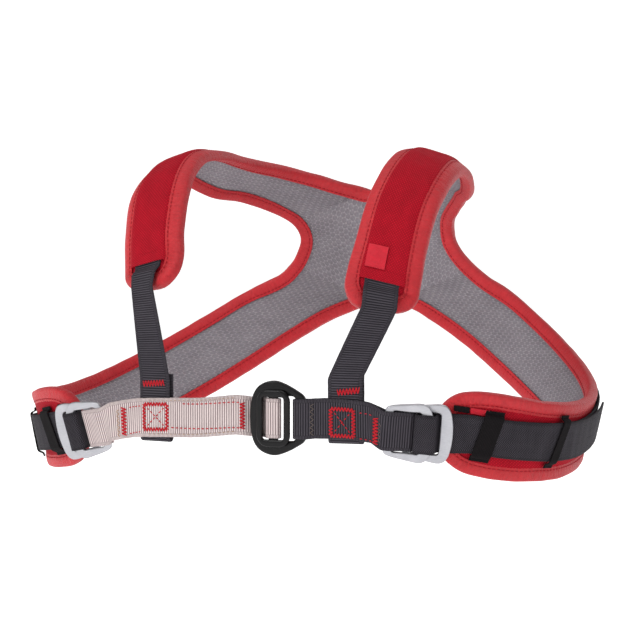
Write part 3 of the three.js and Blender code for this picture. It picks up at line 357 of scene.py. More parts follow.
def share_at(side, row, rim, distance):
    """Share of the pad's width that lies a distance in from a rim, square to that rim."""
    step = 0.05
    row = np.asarray(row, float)
    wide = pad_point(side, row, 1) - pad_point(side, row, 0)
    low = np.maximum(row - step, 0)
    high = np.minimum(row + step, LAST_ROW)
    along = unit(pad_point(side, high, rim) - pad_point(side, low, rim))
    length = np.linalg.norm(wide, axis=-1)
    cosine = np.sum(along * wide, -1) / length
    return distance / (length * np.sqrt(1 - cosine ** 2))


def bow_at(side, row, across):
    """Height of the pad's curve: full in the middle, falling straight to 0 at each rim."""
    rim = np.where(across < 0.5, 0.0, 1.0)
    distance = np.minimum(across, 1 - across) / share_at(side, row, rim, 1)
    return smooth_at(BOWS, row)[..., 0] * np.minimum(distance / BINDING_WIDTH, 1)


def to_side(side, point):
    """The same point or direction in the side's own half space."""
    return point * np.array([side, 1, 1])


def pad_at(side, row, across, height):
    """Point of the pad at a height above its inner face, on its own side of the body."""
    row, across, height = np.broadcast_arrays(
        np.asarray(row, float), np.asarray(across, float), np.asarray(height, float))
    point = pad_point(side, row, across)
    normal = pad_normal(side, row, across)
    on_middle = point[..., 0] < 1e-6
    normal[..., 0] = np.where(on_middle, 0, normal[..., 0])
    normal = unit(normal)
    raised = bow_at(side, row, across) + height
    return to_side(side, point + normal * raised[..., None])


def pad_wide(side, row):
    """Width of the pad at a row."""
    return np.linalg.norm(pad_point(side, row, 1) - pad_point(side, row, 0), axis=-1)


PAD_STEP = float(np.linalg.norm(pad_point(1, 1, 0.5) - pad_point(1, 0, 0.5)))
WING_STEP = float(np.linalg.norm(
    pad_point(1, LAST_ROW, 0.5) - pad_point(1, LAST_ROW - 1, 0.5)))


def end_cut(row):
    """How far the round ends cut into the edges: r - sqrt(r^2 - (r - d)^2)."""

    def cut(distance, radius):
        inside = np.clip(radius - distance, 0, radius)
        return radius - np.sqrt(radius ** 2 - inside ** 2)

    return cut(row * PAD_STEP, PAD_END_RADIUS) + cut((LAST_ROW - row) * WING_STEP,
                                                     WING_END_RADIUS)


def pad_rows(step, first=0.0, last=float(LAST_ROW)):
    """Rows a step apart, drawn together towards both round ends."""
    turn = 1 - np.cos(np.linspace(0, np.pi / 2, 13))
    front = turn * PAD_END_RADIUS / PAD_STEP
    end = LAST_ROW - turn * WING_END_RADIUS / WING_STEP
    inside = np.arange(front[-1] + step, end[-1] - step / 2, step)
    notch = np.array([TOP_NOTCH, BOTTOM_NOTCH])
    rows = np.unique(np.concatenate([front, inside, end, notch]).round(5))
    rows = rows[(rows > first + 0.02) & (rows < last - 0.02)]
    return np.concatenate([[first], rows, [last]])


def chest_stop(place, offset, rise=0.0):
    """Place on the chest webbing and the direction of its width."""
    place = np.asarray(place, float)
    z = web_height(place) + rise
    at = girth_point(place, z, offset)
    return at, unit(girth_point(place, z + 1, offset) - at)


def flat_frame(place, reach=14.0, turn=0.0):
    """Origin and along, up and out directions of flat hardware on the girth."""
    origin, up = chest_stop(place, 0)
    along = unit(chest_stop(place + reach, 0)[0] - chest_stop(place - reach, 0)[0])
    up = unit(up - along * np.dot(up, along))
    out = np.cross(along, up)
    along = along * math.cos(turn) - out * math.sin(turn)
    return origin, along, up, np.cross(along, up)


RING_FRAMES = {side: flat_frame(side * RING_PLACES[side], 14, RING_TURNS[side])
               for side in (1, -1)}
BUCKLE_FRAME = flat_frame(BUCKLE_PLACE)


def on_frame(hardware, along, out, up=0.0):
    """Points along, up and out from a piece of hardware's origin."""
    origin, a, b, c = hardware
    along, out, up = np.broadcast_arrays(
        np.asarray(along, float), np.asarray(out, float), np.asarray(up, float))
    return origin + along[..., None] * a + up[..., None] * b + out[..., None] * c


# Paths of the webbing

def bar(left, right, back, thickness):
    """Edges of a bar that webbing goes round."""
    return {"left": left, "right": right, "back": back, "front": back + thickness}


def ring_bars(middle, back):
    """Inner and outer bar of a ring."""
    left, right = middle - RING_HALF, middle + RING_HALF
    return {"inner": bar(left, left + RING_INNER_BAR, back, RING_THICKNESS),
            "outer": bar(right - RING_OUTER_BAR, right, back, RING_THICKNESS)}


REAR_BARS = ring_bars(REAR_RING_MIDDLE, REAR_RING_BACK)
FRONT_BARS = ring_bars(FRONT_RING_MIDDLE, FRONT_RING_BACK)
BUCKLE_HALF = BUCKLE_LENGTH / 2
BUCKLE_BARS = {
    "ring": bar(-BUCKLE_HALF, -BUCKLE_HALF + BUCKLE_LEFT_BAR, BUCKLE_BACK, BUCKLE_THICKNESS),
    "buckle": bar(BUCKLE_HALF - BUCKLE_RIGHT_BAR, BUCKLE_HALF, BUCKLE_BACK, BUCKLE_THICKNESS),
    "toggle": bar(TOGGLE_BAR_PLACE - TOGGLE_BAR / 2, TOGGLE_BAR_PLACE + TOGGLE_BAR / 2,
                  BUCKLE_BACK + 3, TOGGLE_BACK + 0.6 - BUCKLE_BACK - 3),
}


def corner(edges, h, v, starts_beside):
    """Three stops of a quarter turn round one corner of a bar."""
    reach = WEB_SEAT + 0.08
    slope = math.sqrt(0.5)
    turns = [(h, 0), (h * slope, v * slope), (0, v)]
    if not starts_beside:
        turns.reverse()
    along = edges["left"] if h < 0 else edges["right"]
    out = edges["back"] if v < 0 else edges["front"]
    return [(along + a * reach, out + b * reach) for a, b in turns]


def framed(hardware, side, stops):
    """Stops given as (along, out) on a piece of hardware, with the width upright."""
    along, out = np.array(stops, float).T
    at = on_frame(hardware, side * along, out)
    return at, np.broadcast_to(hardware[2], at.shape)


def chained(*runs):
    """Runs of stops, each (places, widths), laid end to end."""
    return np.vstack([run[0] for run in runs]), np.vstack([run[1] for run in runs])


def turned_round(run):
    """The same stops read backwards."""
    return run[0][::-1], run[1][::-1]


def side_strap_path(side):
    """From the wing's back through both rings from behind and back as the loose tail."""
    hardware = RING_FRAMES[side]
    rear, front = REAR_BARS["outer"], FRONT_BARS["outer"]
    under = rear["back"] - WEB_SEAT - 0.08
    lower = under - STRAP_STEP
    slack = STRAP_SLACK[side]
    rise = front["left"] - slack - WEB_SEAT - 0.08
    dive = front["right"] + WEB_SEAT + 0.08
    loose = dict(front, left=front["left"] - slack)
    through = [
        (rear["right"], lower - 0.7), (rear["left"], lower), (rise + 4, lower + 0.3),
        (rise + 1.4, lower + 0.9), (rise, lower + 2.6),
        *corner(loose, -1, 1, True), *corner(front, 1, 1, False),
        (dive, FRONT_RING_BACK), (dive + 0.7, REAR_RING_BACK + 1.2),
        *corner(rear, -1, -1, True)[1:], (rear["right"], under - 0.3),
    ]
    sewn = chest_stop(side * np.arange(STRAP_SEWN_END, 166, -11.0), STRAP_SEAT)
    tail_places = np.arange(166, TAIL_END, 11.0)
    lift = 1.3 * smooth_step(tail_places, 262, TAIL_END)
    tail = chest_stop(side * tail_places, TAIL_SEAT + lift)
    return chained(sewn, framed(hardware, side, through), tail)


def ring_end(side):
    """The chest webbing's outer fold round the inner bars of both rings."""
    front, rear = FRONT_BARS["inner"], REAR_BARS["inner"]
    reach = WEB_SEAT + 0.08
    stops = [
        (front["left"] - 1, front["front"] + reach - 0.1),
        (front["left"] + 1.5, front["front"] + reach),
        (front["right"] - 0.8, front["front"] + reach),
        (front["right"] + 0.8, front["front"] + 0.6),
        (rear["left"] + 1.2, rear["front"] + reach + 0.2),
        *corner(rear, 1, 1, False), *corner(rear, 1, -1, True),
        (rear["left"] + 1.2, rear["back"] - reach), (rear["left"] - 0.6, rear["back"] - 0.8),
        (front["right"] + 0.8, front["back"] - reach - 0.6),
        (front["right"] - 0.8, front["back"] - reach), (front["left"], front["back"] - reach),
    ]
    return framed(RING_FRAMES[side], side, stops)


def chest_rise(place):
    """How much further out the chest webbing stands towards the rings."""
    return RING_RISE * smooth_step(np.abs(place), 96, 112)


def chest_run(side, start, end):
    """Front and back layer of the chest webbing, open round the shoulder webbing."""
    web = SHOULDER_WEB_PLACES[side]
    half = SHOULDER_WEB_WIDTH / 2
    places = np.arange(start, end, 2.0)
    inside = smooth_step(places, web - half - 8, web - half - 2.5) * (
        1 - smooth_step(places, web + half + 2.5, web + half + 7))
    dip = inside * (STRAP_STEP + 2 * WEB_CURVE)
    layer = FRONT_LAYER + chest_rise(places)
    front = chest_stop(side * places, layer)
    back = chest_stop(side * places, layer - STRAP_STEP - dip)
    return front, turned_round(back)


def chest_end(side):
    """Place where the chest webbing reaches its rings."""
    return RING_PLACES[side] + FRONT_BARS["inner"]["left"] - 8


def chest_left_path():
    """Closed loop from the buckle's bar to the rings on +X and back."""
    edges = BUCKLE_BARS["buckle"]
    front, back = chest_run(1, BUCKLE_PLACE + edges["right"] + 6, chest_end(1))
    opening = [*corner(edges, -1, 1, True), (edges["right"], edges["front"] + WEB_SEAT)]
    closing = [(edges["right"], edges["back"] - WEB_SEAT - 0.1),
               *corner(edges, -1, -1, False)]
    return chained(framed(BUCKLE_FRAME, 1, opening), front, ring_end(1), back,
                   framed(BUCKLE_FRAME, 1, closing))


def chest_right_path():
    """Closed loop from under the buckle's ring round the toggle's bar to the rings on -X."""
    ring, toggle = BUCKLE_BARS["ring"], BUCKLE_BARS["toggle"]
    under = ring["back"] - WEB_SEAT - 0.08
    lower = under - STRAP_STEP
    front, back = chest_run(-1, -(BUCKLE_PLACE + ring["left"] - 6), chest_end(-1))
    round_toggle = [
        (ring["left"], under), (ring["right"] - 1, under),
        (ring["right"] + WEB_SEAT, ring["back"]), (toggle["left"] - WEB_SEAT, ring["front"]),
        *corner(toggle, -1, 1, True), *corner(toggle, 1, 1, False),
        *corner(toggle, 1, -1, True),
        (toggle["left"] + 2, toggle["back"] - WEB_SEAT - 0.08),
        (ring["right"] + 1.6, ring["back"] - WEB_SEAT - 0.3), (ring["right"], lower),
        (ring["left"], lower),
    ]
    return chained(framed(BUCKLE_FRAME, 1, round_toggle), turned_round(back),
                   turned_round(ring_end(-1)), turned_round(front))


def pad_frame(side, row):
    """Middle of the pad at a row, the way across it and outwards."""
    at = pad_at(side, row, 0.5, 0)
    wide = unit(pad_at(side, row, 0.52, 0) - pad_at(side, row, 0.48, 0)) * side
    return at, wide, to_side(side, pad_normal(side, row, 0.5))


def shoulder_web_path(side):
    """Out of the sleeve, over the pad's end, behind the chest webbing and round its back layer."""
    place = side * SHOULDER_WEB_PLACES[side]
    in_front = FRONT_LAYER - STRAP_STEP - WEB_CURVE
    behind = in_front - 2 * STRAP_STEP - 2 * WEB_CURVE
    half = CHEST_WEB_WIDTH / 2
    along = girth_frame(place)[1]
    over_end = BINDING_TOP + WEB_GAP + WEB_THICKNESS / 2 + END_SLACK
    rows = np.append(np.arange(SHOULDER_WEB_HIDDEN, SLEEVE_MOUTH, -0.25),
                     [SLEEVE_MOUTH, SLEEVE_MOUTH - 0.2, 0.5, 0])
    heights = np.interp(rows, [0.5, 0.75, 0.95], [over_end, WEB_IN_SLEEVE + 0.3,
                                                  WEB_IN_SLEEVE])
    at, wide, out = pad_frame(side, rows)
    on_pad = (at + out * heights[:, None], wide)
    rises = [half + 14, half + 5, 0, -half - 1, -half - 2.3, -half - 3, -half - 2.3,
             -half - 1, 0, SHOULDER_WEB_RISE]
    offsets = [in_front] * 4 + [in_front - 0.7, in_front - STRAP_STEP, behind + 0.7,
                                behind, behind, behind]
    low = chest_stop(place, np.array(offsets), np.array(rises))[0]
    return chained(on_pad, (low, np.broadcast_to(along, low.shape)))


def keeper_path(side, place):
    """Over the side strap and its tail, leaning forward at the foot."""
    half = CHEST_WEB_WIDTH / 2
    over = TAIL_SEAT + WEB_THICKNESS / 2 + WEB_GAP + KEEPER_THICKNESS / 2
    foot = STRAP_SEAT - WEB_THICKNESS / 2 + KEEPER_THICKNESS / 2
    rises = np.array([half + 4.5, half + 2, half + 0.8, half - 0.6, half / 2, 0, -half / 2,
                      -half + 0.6, -half - 0.8, -half - 2, -half - 4.5])
    offsets = np.array([foot, foot + 0.2, over - 0.6, over, over, over, over, over,
                        over - 0.6, foot + 0.2, foot])
    spots = side * (place + KEEPER_SLANT * rises)
    at = chest_stop(spots, offsets, rises)[0]
    return at, unit(chest_stop(spots + 1, offsets, rises)[0] - at)


def tab_path(side, place):
    """A short tab standing above the side strap."""
    half = CHEST_WEB_WIDTH / 2
    foot = STRAP_SEAT - WEB_THICKNESS / 2 + KEEPER_THICKNESS / 2
    rises = np.linspace(half + 0.5, half + 4.5, 4)
    at = chest_stop(side * place, foot, rises)[0]
    wide = unit(chest_stop(side * (place + 1), foot, rises)[0] - at)
    return at, wide * side


# Meshes from grids

def surface(points, weave, closed_along=False, closed_around=False, capped=False):
    """Four-sided faces between the neighbours of a grid of points.

    weave holds a grid of (across, along) in mm, one longer each way in which the grid closes.
    """
    rows, columns = points.shape[:2]
    i, j = np.meshgrid(np.arange(rows if closed_along else rows - 1),
                       np.arange(columns if closed_around else columns - 1), indexing="ij")
    i, j = i.ravel(), j.ravel()
    corners = [(i, j), (i + 1, j), (i + 1, j + 1), (i, j + 1)]
    faces = np.stack([(a % rows) * columns + b % columns for a, b in corners], -1)
    values = np.stack([weave[a, b] for a, b in corners], 1)
    lists = [faces.astype(int)]
    extras = [values]
    if capped:
        first = np.arange(columns)[None, :]
        lists += [first, (first + (rows - 1) * columns)[:, ::-1]]
        extras += [weave[:1, :columns], weave[-1:, :columns][:, ::-1]]
    return {"points": points.reshape(-1, 3), "faces": lists, "weave": extras}


def volume_of(points, faces):
    """Six times the volume inside the faces: each fan triangle with the origin as its tip."""
    total = 0.0
    for block in faces:
        a = points[block[:, 0]]
        for k in range(1, block.shape[1] - 1):
            b, c = points[block[:, k]], points[block[:, k + 1]]
            total += float(np.sum(a * np.cross(b, c)))
    return total


def facing_out(part):
    """The same part with its faces turned round if it came out inside out."""
    if volume_of(part["points"], part["faces"]) >= 0:
        return part
    return {"points": part["points"], "faces": [f[:, ::-1] for f in part["faces"]],
            "weave": [w[:, ::-1] for w in part["weave"]]}


def make_piece(name, parts, finish, nodes=(), crease=60.0):
    """Puts closed parts into one mesh in metres, with its weave as a UV map in millimetres."""
    parts = [facing_out(part) for part in parts]
    starts = np.cumsum([0] + [len(part["points"]) for part in parts])
    points = np.vstack([part["points"] for part in parts]) * MM
    blocks = [face + start for part, start in zip(parts, starts) for face in part["faces"]]
    weave = np.vstack([w.reshape(-1, 2) for part in parts for w in part["weave"]])
    sizes = np.concatenate([np.full(len(block), block.shape[1]) for block in blocks])
    mesh = bpy.data.meshes.new(name)
    mesh.vertices.add(len(points))
    mesh.vertices.foreach_set("co", points.ravel())
    corners = np.concatenate([block.ravel() for block in blocks])
    mesh.loops.add(len(corners))
    mesh.loops.foreach_set("vertex_index", corners.astype(np.int32))
    mesh.polygons.add(len(sizes))
    loop_starts = np.concatenate([[0], np.cumsum(sizes)[:-1]]).astype(np.int32)
    mesh.polygons.foreach_set("loop_start", loop_starts)
    mesh.update(calc_edges=True)
    layer = mesh.uv_layers.new(name="weave")
    layer.data.foreach_set("uv", weave.astype(np.float32).ravel())
    mesh.shade_smooth()
    mesh.set_sharp_from_angle(angle=math.radians(crease))
    mesh.materials.append(finish)
    piece = bpy.data.objects.new(name, mesh)
    bpy.context.scene.collection.objects.link(piece)
    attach(piece, BODY)
    if nodes:
        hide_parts(*nodes)
    return piece


def waves(length, along, wavelength, seed, count=5):
    """Sum of sines with whole numbers of waves round the length, about -1 to 1."""
    rng = np.random.default_rng(seed)
    base = max(length / wavelength, 1.0)
    cycles = np.maximum(np.round(base * rng.uniform(0.6, 1.5, count)), 1)
    phases = rng.uniform(0, 2 * np.pi, count)
    angles = 2 * np.pi * along[..., None] / length * cycles + phases
    return np.sin(angles).mean(-1) * 1.6


def resampled(path, step, closed=False, softness=0.9):
    """Stops a step apart on the chain of straight runs, each drawn to its neighbours by a bell."""
    at, wide = path
    data = np.hstack([at, wide])
    if closed:
        data = np.vstack([data, data[:1]])
    lengths = np.linalg.norm(np.diff(data[:, :3], axis=0), axis=1)
    keep = np.concatenate([[True], lengths > 1e-6])
    data = data[keep]
    travelled = np.concatenate([[0], np.cumsum(lengths[keep[1:]])])
    count = int(round(travelled[-1] / step))
    places = np.linspace(0, travelled[-1], count + 1)
    if closed:
        places = places[:-1]
    even = np.stack([np.interp(places, travelled, column) for column in data.T], -1)
    reach = int(math.ceil(3 * softness / step))
    bell = np.exp(-0.5 * (np.arange(-reach, reach + 1) * step / softness) ** 2)
    bell /= bell.sum()
    if closed:
        longer = np.vstack([even[-reach:], even, even[:reach]])
    else:
        head = 2 * even[0] - even[reach:0:-1]
        foot = 2 * even[-1] - even[-2:-reach - 2:-1]
        longer = np.vstack([head, even, foot])
    smooth = np.stack([np.convolve(column, bell, "valid") for column in longer.T], -1)
    return smooth[:, :3], unit(smooth[:, 3:]), travelled[-1]


def strip_profile(width, thickness, across=11):
    """Outline of a flat strip with half-round edges, as (across, out) pairs, once round."""
    r = thickness / 2
    flat = np.linspace(-width / 2 + r, width / 2 - r, across)
    turn = np.linspace(-np.pi / 2, np.pi / 2, 5)[1:-1]
    right = np.stack([width / 2 - r + r * np.cos(turn), r * np.sin(turn)], -1)
    bottom = np.stack([flat, np.full(across, -r)], -1)
    return np.vstack([bottom, right, -bottom, -right])


def band(path, width, thickness, closed=False, step=1.0, ripple=0.1, seed=1, softness=0.9):
    """Strip outline carried along a path: at + wide * across + out * height, with a slow ripple."""
    at, wide, length = resampled(path, step, closed, softness)
    if closed:
        along = np.roll(at, -1, 0) - np.roll(at, 1, 0)
    else:
        along = np.gradient(at, axis=0)
    out = unit(np.cross(unit(along), wide))
    travelled = np.arange(len(at)) * length / (len(at) - (0 if closed else 1))
    outline = strip_profile(width, thickness)
    edge_wave = waves(length, travelled, 9.0, seed) * ripple
    face_wave = waves(length, travelled, 14.0, seed + 1) * ripple
    across = outline[None, :, 0] * (1 + edge_wave[:, None] / width)
    height = outline[None, :, 1] + face_wave[:, None] * (1 - (2 * outline[:, 0] / width) ** 2)
    points = at[:, None] + wide[:, None] * across[..., None] + out[:, None] * height[..., None]
    rows = np.append(travelled, length) if closed else travelled
    columns = np.append(outline[:, 0], outline[0, 0])
    weave = np.stack(np.broadcast_arrays(columns[None, :], rows[:, None]), -1)
    return surface(points, weave, closed, True, capped=not closed)


def threads(starts, ends, outs, radius=0.32, rise=0.25, sides=5):
    """Arched stitches: rings of r(s) round start + (end - start) s + out * rise * sin(pi s)."""
    starts, ends, outs = (np.asarray(value, float).reshape(-1, 3)
                          for value in (starts, ends, outs))
    outs = np.broadcast_to(outs, starts.shape)
    share = np.array([0.1, 0.5, 0.9])
    size = np.array([0.8, 1.0, 0.8]) * radius
    along = unit(ends - starts)
    beside = unit(np.cross(along, outs))
    upward = np.cross(beside, along)
    angle = np.arange(sides) * 2 * np.pi / sides
    middles = starts[:, None] + (ends - starts)[:, None] * share[None, :, None]
    middles = middles + upward[:, None] * (rise * np.sin(np.pi * share))[None, :, None]
    spoke = (beside[:, None, :] * np.cos(angle)[None, :, None]
             + upward[:, None, :] * np.sin(angle)[None, :, None])
    rings = middles[:, :, None] + spoke[:, None] * size[None, :, None, None]
    count = len(starts)
    sink = upward * radius * 0.9
    points = np.concatenate([
        (starts - sink)[:, None], rings.reshape(count, -1, 3), (ends - sink)[:, None]], 1)
    each = points.shape[1]
    turn = np.arange(sides)
    after = (turn + 1) % sides
    first = np.stack([np.zeros(sides, int), 1 + turn, 1 + after], -1)
    tip = 1 + 2 * sides
    final = np.stack([tip + after, tip + turn, np.full(sides, each - 1)], -1)
    fans = np.vstack([first, final])
    walls = np.vstack([np.stack([1 + k * sides + turn, 1 + (k + 1) * sides + turn,
                                 1 + (k + 1) * sides + after, 1 + k * sides + after], -1)
                       for k in range(2)])
    shift = (np.arange(count) * each)[:, None, None]
    lists = [(fans[None] + shift).reshape(-1, 3), (walls[None] + shift).reshape(-1, 4)]
    flat = np.zeros((each, 2))
    flat[1:-1, 1] = np.repeat(share, sides)
    flat[-1, 1] = 1
    values = [np.tile(flat[fans], (count, 1, 1)), np.tile(flat[walls], (count, 1, 1))]
    return {"points": points.reshape(-1, 3), "faces": lists, "weave": values}


def stitch_row(line, outs, pitch=3.2, length=2.4, closed=False, **sizes):
    """Stitches of one length, a pitch apart, along a line of points."""
    line, outs = np.asarray(line, float), np.asarray(outs, float)
    if closed:
        line, outs = np.vstack([line, line[:1]]), np.vstack([outs, outs[:1]])
    steps = np.linalg.norm(np.diff(line, axis=0), axis=1)
    travelled = np.concatenate([[0], np.cumsum(steps)])
    count = max(int(travelled[-1] / pitch), 1)
    first = (np.arange(count) + 0.5) * travelled[-1] / count - length / 2

    def at(places, values):
        return np.stack([np.interp(places, travelled, column) for column in values.T], -1)

    return threads(at(first, line), at(first + length, line),
                   unit(at(first + length / 2, outs)), **sizes)


def zigzag_row(line, sides_way, outs, reach, pitch=1.1, **sizes):
    """A close zigzag: each leg runs from one side of the line to the other, a pitch further on."""
    line, sides_way, outs = (np.asarray(v, float) for v in (line, sides_way, outs))
    steps = np.linalg.norm(np.diff(line, axis=0), axis=1)
    travelled = np.concatenate([[0], np.cumsum(steps)])
    count = max(int(travelled[-1] / pitch), 2)
    places = np.linspace(0, travelled[-1], count + 1)

    def at(values):
        values = np.broadcast_to(values, line.shape)
        return np.stack([np.interp(places, travelled, column) for column in values.T], -1)

    swing = np.where(np.arange(count + 1) % 2, 1.0, -1.0)[:, None] * reach / 2
    stops = at(line) + unit(at(sides_way)) * swing
    out = unit(at(outs))
    return threads(stops[:-1], stops[1:], out[:-1], **sizes)


# Finishes

class Wire:
    """A number that runs between nodes; arithmetic on it adds Math nodes."""

    def __init__(self, finish, socket):
        self.finish = finish
        self.socket = socket

    def through(self, operation, *values):
        inputs = dict(enumerate(values))
        return self.finish.node("ShaderNodeMath", {"operation": operation}, inputs)

    def __add__(self, other):
        return self.through("ADD", self, other)

    def __radd__(self, other):
        return self.through("ADD", other, self)

    def __sub__(self, other):
        return self.through("SUBTRACT", self, other)

    def __rsub__(self, other):
        return self.through("SUBTRACT", other, self)

    def __mul__(self, other):
        return self.through("MULTIPLY", self, other)

    def __rmul__(self, other):
        return self.through("MULTIPLY", other, self)

    def __truediv__(self, other):
        return self.through("DIVIDE", self, other)

    def __pow__(self, other):
        return self.through("POWER", self, other)

    def size(self):
        return self.through("ABSOLUTE", self)

    def sine(self):
        return self.through("SINE", self)

    def cosine(self):
        return self.through("COSINE", self)

    def larger(self, other):
        return self.through("MAXIMUM", self, other)

    def smaller(self, other):
        return self.through("MINIMUM", self, other)

    def step(self, start, end):
        """Smooth step from 0 at start to 1 at end."""
        return self.finish.node(
            "ShaderNodeMapRange", {"interpolation_type": "SMOOTHSTEP"},
            {0: self, 1: start, 2: end, 3: 0.0, 4: 1.0})


def linear(red, green, blue):
    """Linear colour of a display colour given from 0 to 255."""
    values = [channel / 255 for channel in (red, green, blue)]
    return tuple(v / 12.92 if v <= 0.04045 else ((v + 0.055) / 1.055) ** 2.4 for v in values)


class Finish:
    """A material built node by node round one Principled shader."""

    def __init__(self, name, **constants):
        self.material = bpy.data.materials.new(name)
        self.material.use_nodes = True
        self.tree = self.material.node_tree
        self.tree.nodes.clear()
        self.shader = self.tree.nodes.new("ShaderNodeBsdfPrincipled")
        output = self.tree.nodes.new("ShaderNodeOutputMaterial")
        self.tree.links.new(self.shader.outputs[0], output.inputs[0])
        for name, value in constants.items():
            self.feed(self.shader.inputs[name.replace("_", " ")], value)

    def feed(self, socket, value):
        """Links a wire to a socket, or sets the socket's own value."""
        if isinstance(value, Wire):
            self.tree.links.new(value.socket, socket)
        elif socket.type == "RGBA" and len(value) == 3:
            socket.default_value = (*value, 1.0)
        else:
            socket.default_value = value

    def node(self, kind, settings=None, inputs=None, output=0):
        """Adds a node: its settings first, then the values or wires of its sockets."""
        made = self.tree.nodes.new(kind)
        for name, value in (settings or {}).items():
            setattr(made, name, value)
        for name, value in (inputs or {}).items():
            self.feed(made.inputs[name], value)
        return Wire(self, made.outputs[output])

    def weave(self):
        """Across and along, in millimetres."""
        pair = self.node("ShaderNodeUVMap", {"uv_map": "weave"})
        split = self.tree.nodes.new("ShaderNodeSeparateXYZ")
        self.feed(split.inputs[0], pair)
        return Wire(self, split.outputs[0]), Wire(self, split.outputs[1])

    def spot(self):
        """Place on the object, as a vector in metres."""
        return self.node("ShaderNodeTexCoord", output="Object")

    def faced(self):
        """How far the surface faces to the wearer's left and to the back, from -1 to 1."""
        split = self.tree.nodes.new("ShaderNodeSeparateXYZ")
        self.feed(split.inputs[0], self.node("ShaderNodeNewGeometry", output="Normal"))
        return Wire(self, split.outputs[0]), Wire(self, split.outputs[1])

    def vector(self, x, y, z=0.0):
        return self.node("ShaderNodeCombineXYZ", inputs={0: x, 1: y, 2: z})

    def noise(self, vector, scale, detail=2.0, roughness=0.5):
        """Cloudy value from 0 to 1."""
        return self.node("ShaderNodeTexNoise", inputs={
            "Vector": vector, "Scale": scale, "Detail": detail, "Roughness": roughness})

    def mix(self, factor, first, second):
        """Colour from first, where the factor is 0, to second, where it is 1."""
        return self.node("ShaderNodeMix", {"data_type": "RGBA"},
                         {0: factor, 6: first, 7: second}, output=2)

    def bump(self, height, distance, strength=1.0):
        """Feeds a height, in shares of a distance in metres, to the shader's normal."""
        normal = self.node("ShaderNodeBump", inputs={
            "Strength": strength, "Distance": distance, "Height": height})
        self.feed(self.shader.inputs["Normal"], normal)

    def surface(self, colour=None, roughness=None, metallic=None):
        for name, value in (("Base Color", colour), ("Roughness", roughness),
                            ("Metallic", metallic)):
            if value is not None:
                self.feed(self.shader.inputs[name], value)


def ribbed_webbing(name, valley, crest, pitch, width):
    """Ribs across the strap, cut by fine warp threads, with a finer band along both edges."""
    f = Finish(name, Specular_IOR_Level=0.1)
    across, along = f.weave()
    wander = (f.noise(f.vector(across * 0.3, along * 0.3), 0.12, 1.0) - 0.5) * 0.6
    rib = (along * (TURN / pitch) + wander).sine() * 0.5 + 0.5
    warp = (across * (TURN / 0.8) + along * (TURN / pitch / 2)).sine() * 0.5 + 0.5
    tick = (along * (TURN / (pitch * 0.6))).sine() * 0.5 + 0.5
    edge = across.size().step(width / 2 - 3.0, width / 2 - 2.2)
    ridge = rib * (1 - edge) + tick * edge
    cloud = f.noise(f.vector(across * 0.4, along), 0.12, 3.0)
    height = ridge * 0.8 + warp * 0.2
    tone = (ridge * 0.9 + warp * 0.15 + cloud * 0.3 - 0.15).larger(0.0).smaller(1.0)
    groove = 1 - (across.size() - (width / 2 - 2.6)).size().step(0.0, 0.5)
    colour = f.mix(tone * (1 - groove * 0.35), valley, crest)
    f.surface(colour, 0.62 + (1 - ridge) * 0.2)
    f.bump(height * (1 - groove * 0.5), 0.0003, 1.0)
    return f.material


def twill_webbing(name, valley, crest, width):
    """Herringbone rows: the slant of the ribs changes sides every few millimetres."""
    f = Finish(name, Specular_IOR_Level=0.1)
    across, along = f.weave()
    lane = (across * (TURN / 6.4)).cosine().through("SIGN", (across * (TURN / 6.4)).cosine())
    rib = ((along + across * lane * 0.8) * (TURN / 1.3)).sine() * 0.5 + 0.5
    warp = (across * (TURN / 0.7)).sine() * 0.5 + 0.5
    cloud = f.noise(f.vector(across * 0.4, along), 0.12, 3.0)
    tone = (rib ** 1.6 * 0.9 + warp * 0.12 + cloud * 0.35 - 0.2).larger(0.0).smaller(1.0)
    edge = across.size().step(width / 2 - 2.4, width / 2 - 1.8)
    f.surface(f.mix(tone * (1 - edge * 0.3), valley, crest), 0.66)
    f.bump(rib * 0.8 + warp * 0.2, 0.0003, 1.0)
    return f.material


def plain_weave(name, shadow, light, pitch=1.05):
    """Checkered over and under of two sets of threads, with uneven dye and soft creases."""
    f = Finish(name, Specular_IOR_Level=0.12)
    across, along = f.weave()
    warp = (across * (TURN / pitch / 2)).sine()
    weft = (along * (TURN / pitch / 2)).sine()
    over = warp * weft
    crowns = warp.size() * 0.5 + weft.size() * 0.5
    lift = crowns * (over * 0.35 + 0.65)
    cloud = f.noise(f.vector(across, along * 0.6), 0.1, 3.0, 0.6)
    slub = f.noise(f.vector(across * 0.15, along), 1.1, 2.0)
    tone = (lift * 0.95 + cloud * 0.4 + slub * 0.2 - 0.45).larger(0.0).smaller(1.0)
    f.surface(f.mix(tone, shadow, light), 0.6 + (1 - lift) * 0.2)
    f.bump(lift + cloud * 1.2, 0.0003, 1.0)
    return f.material


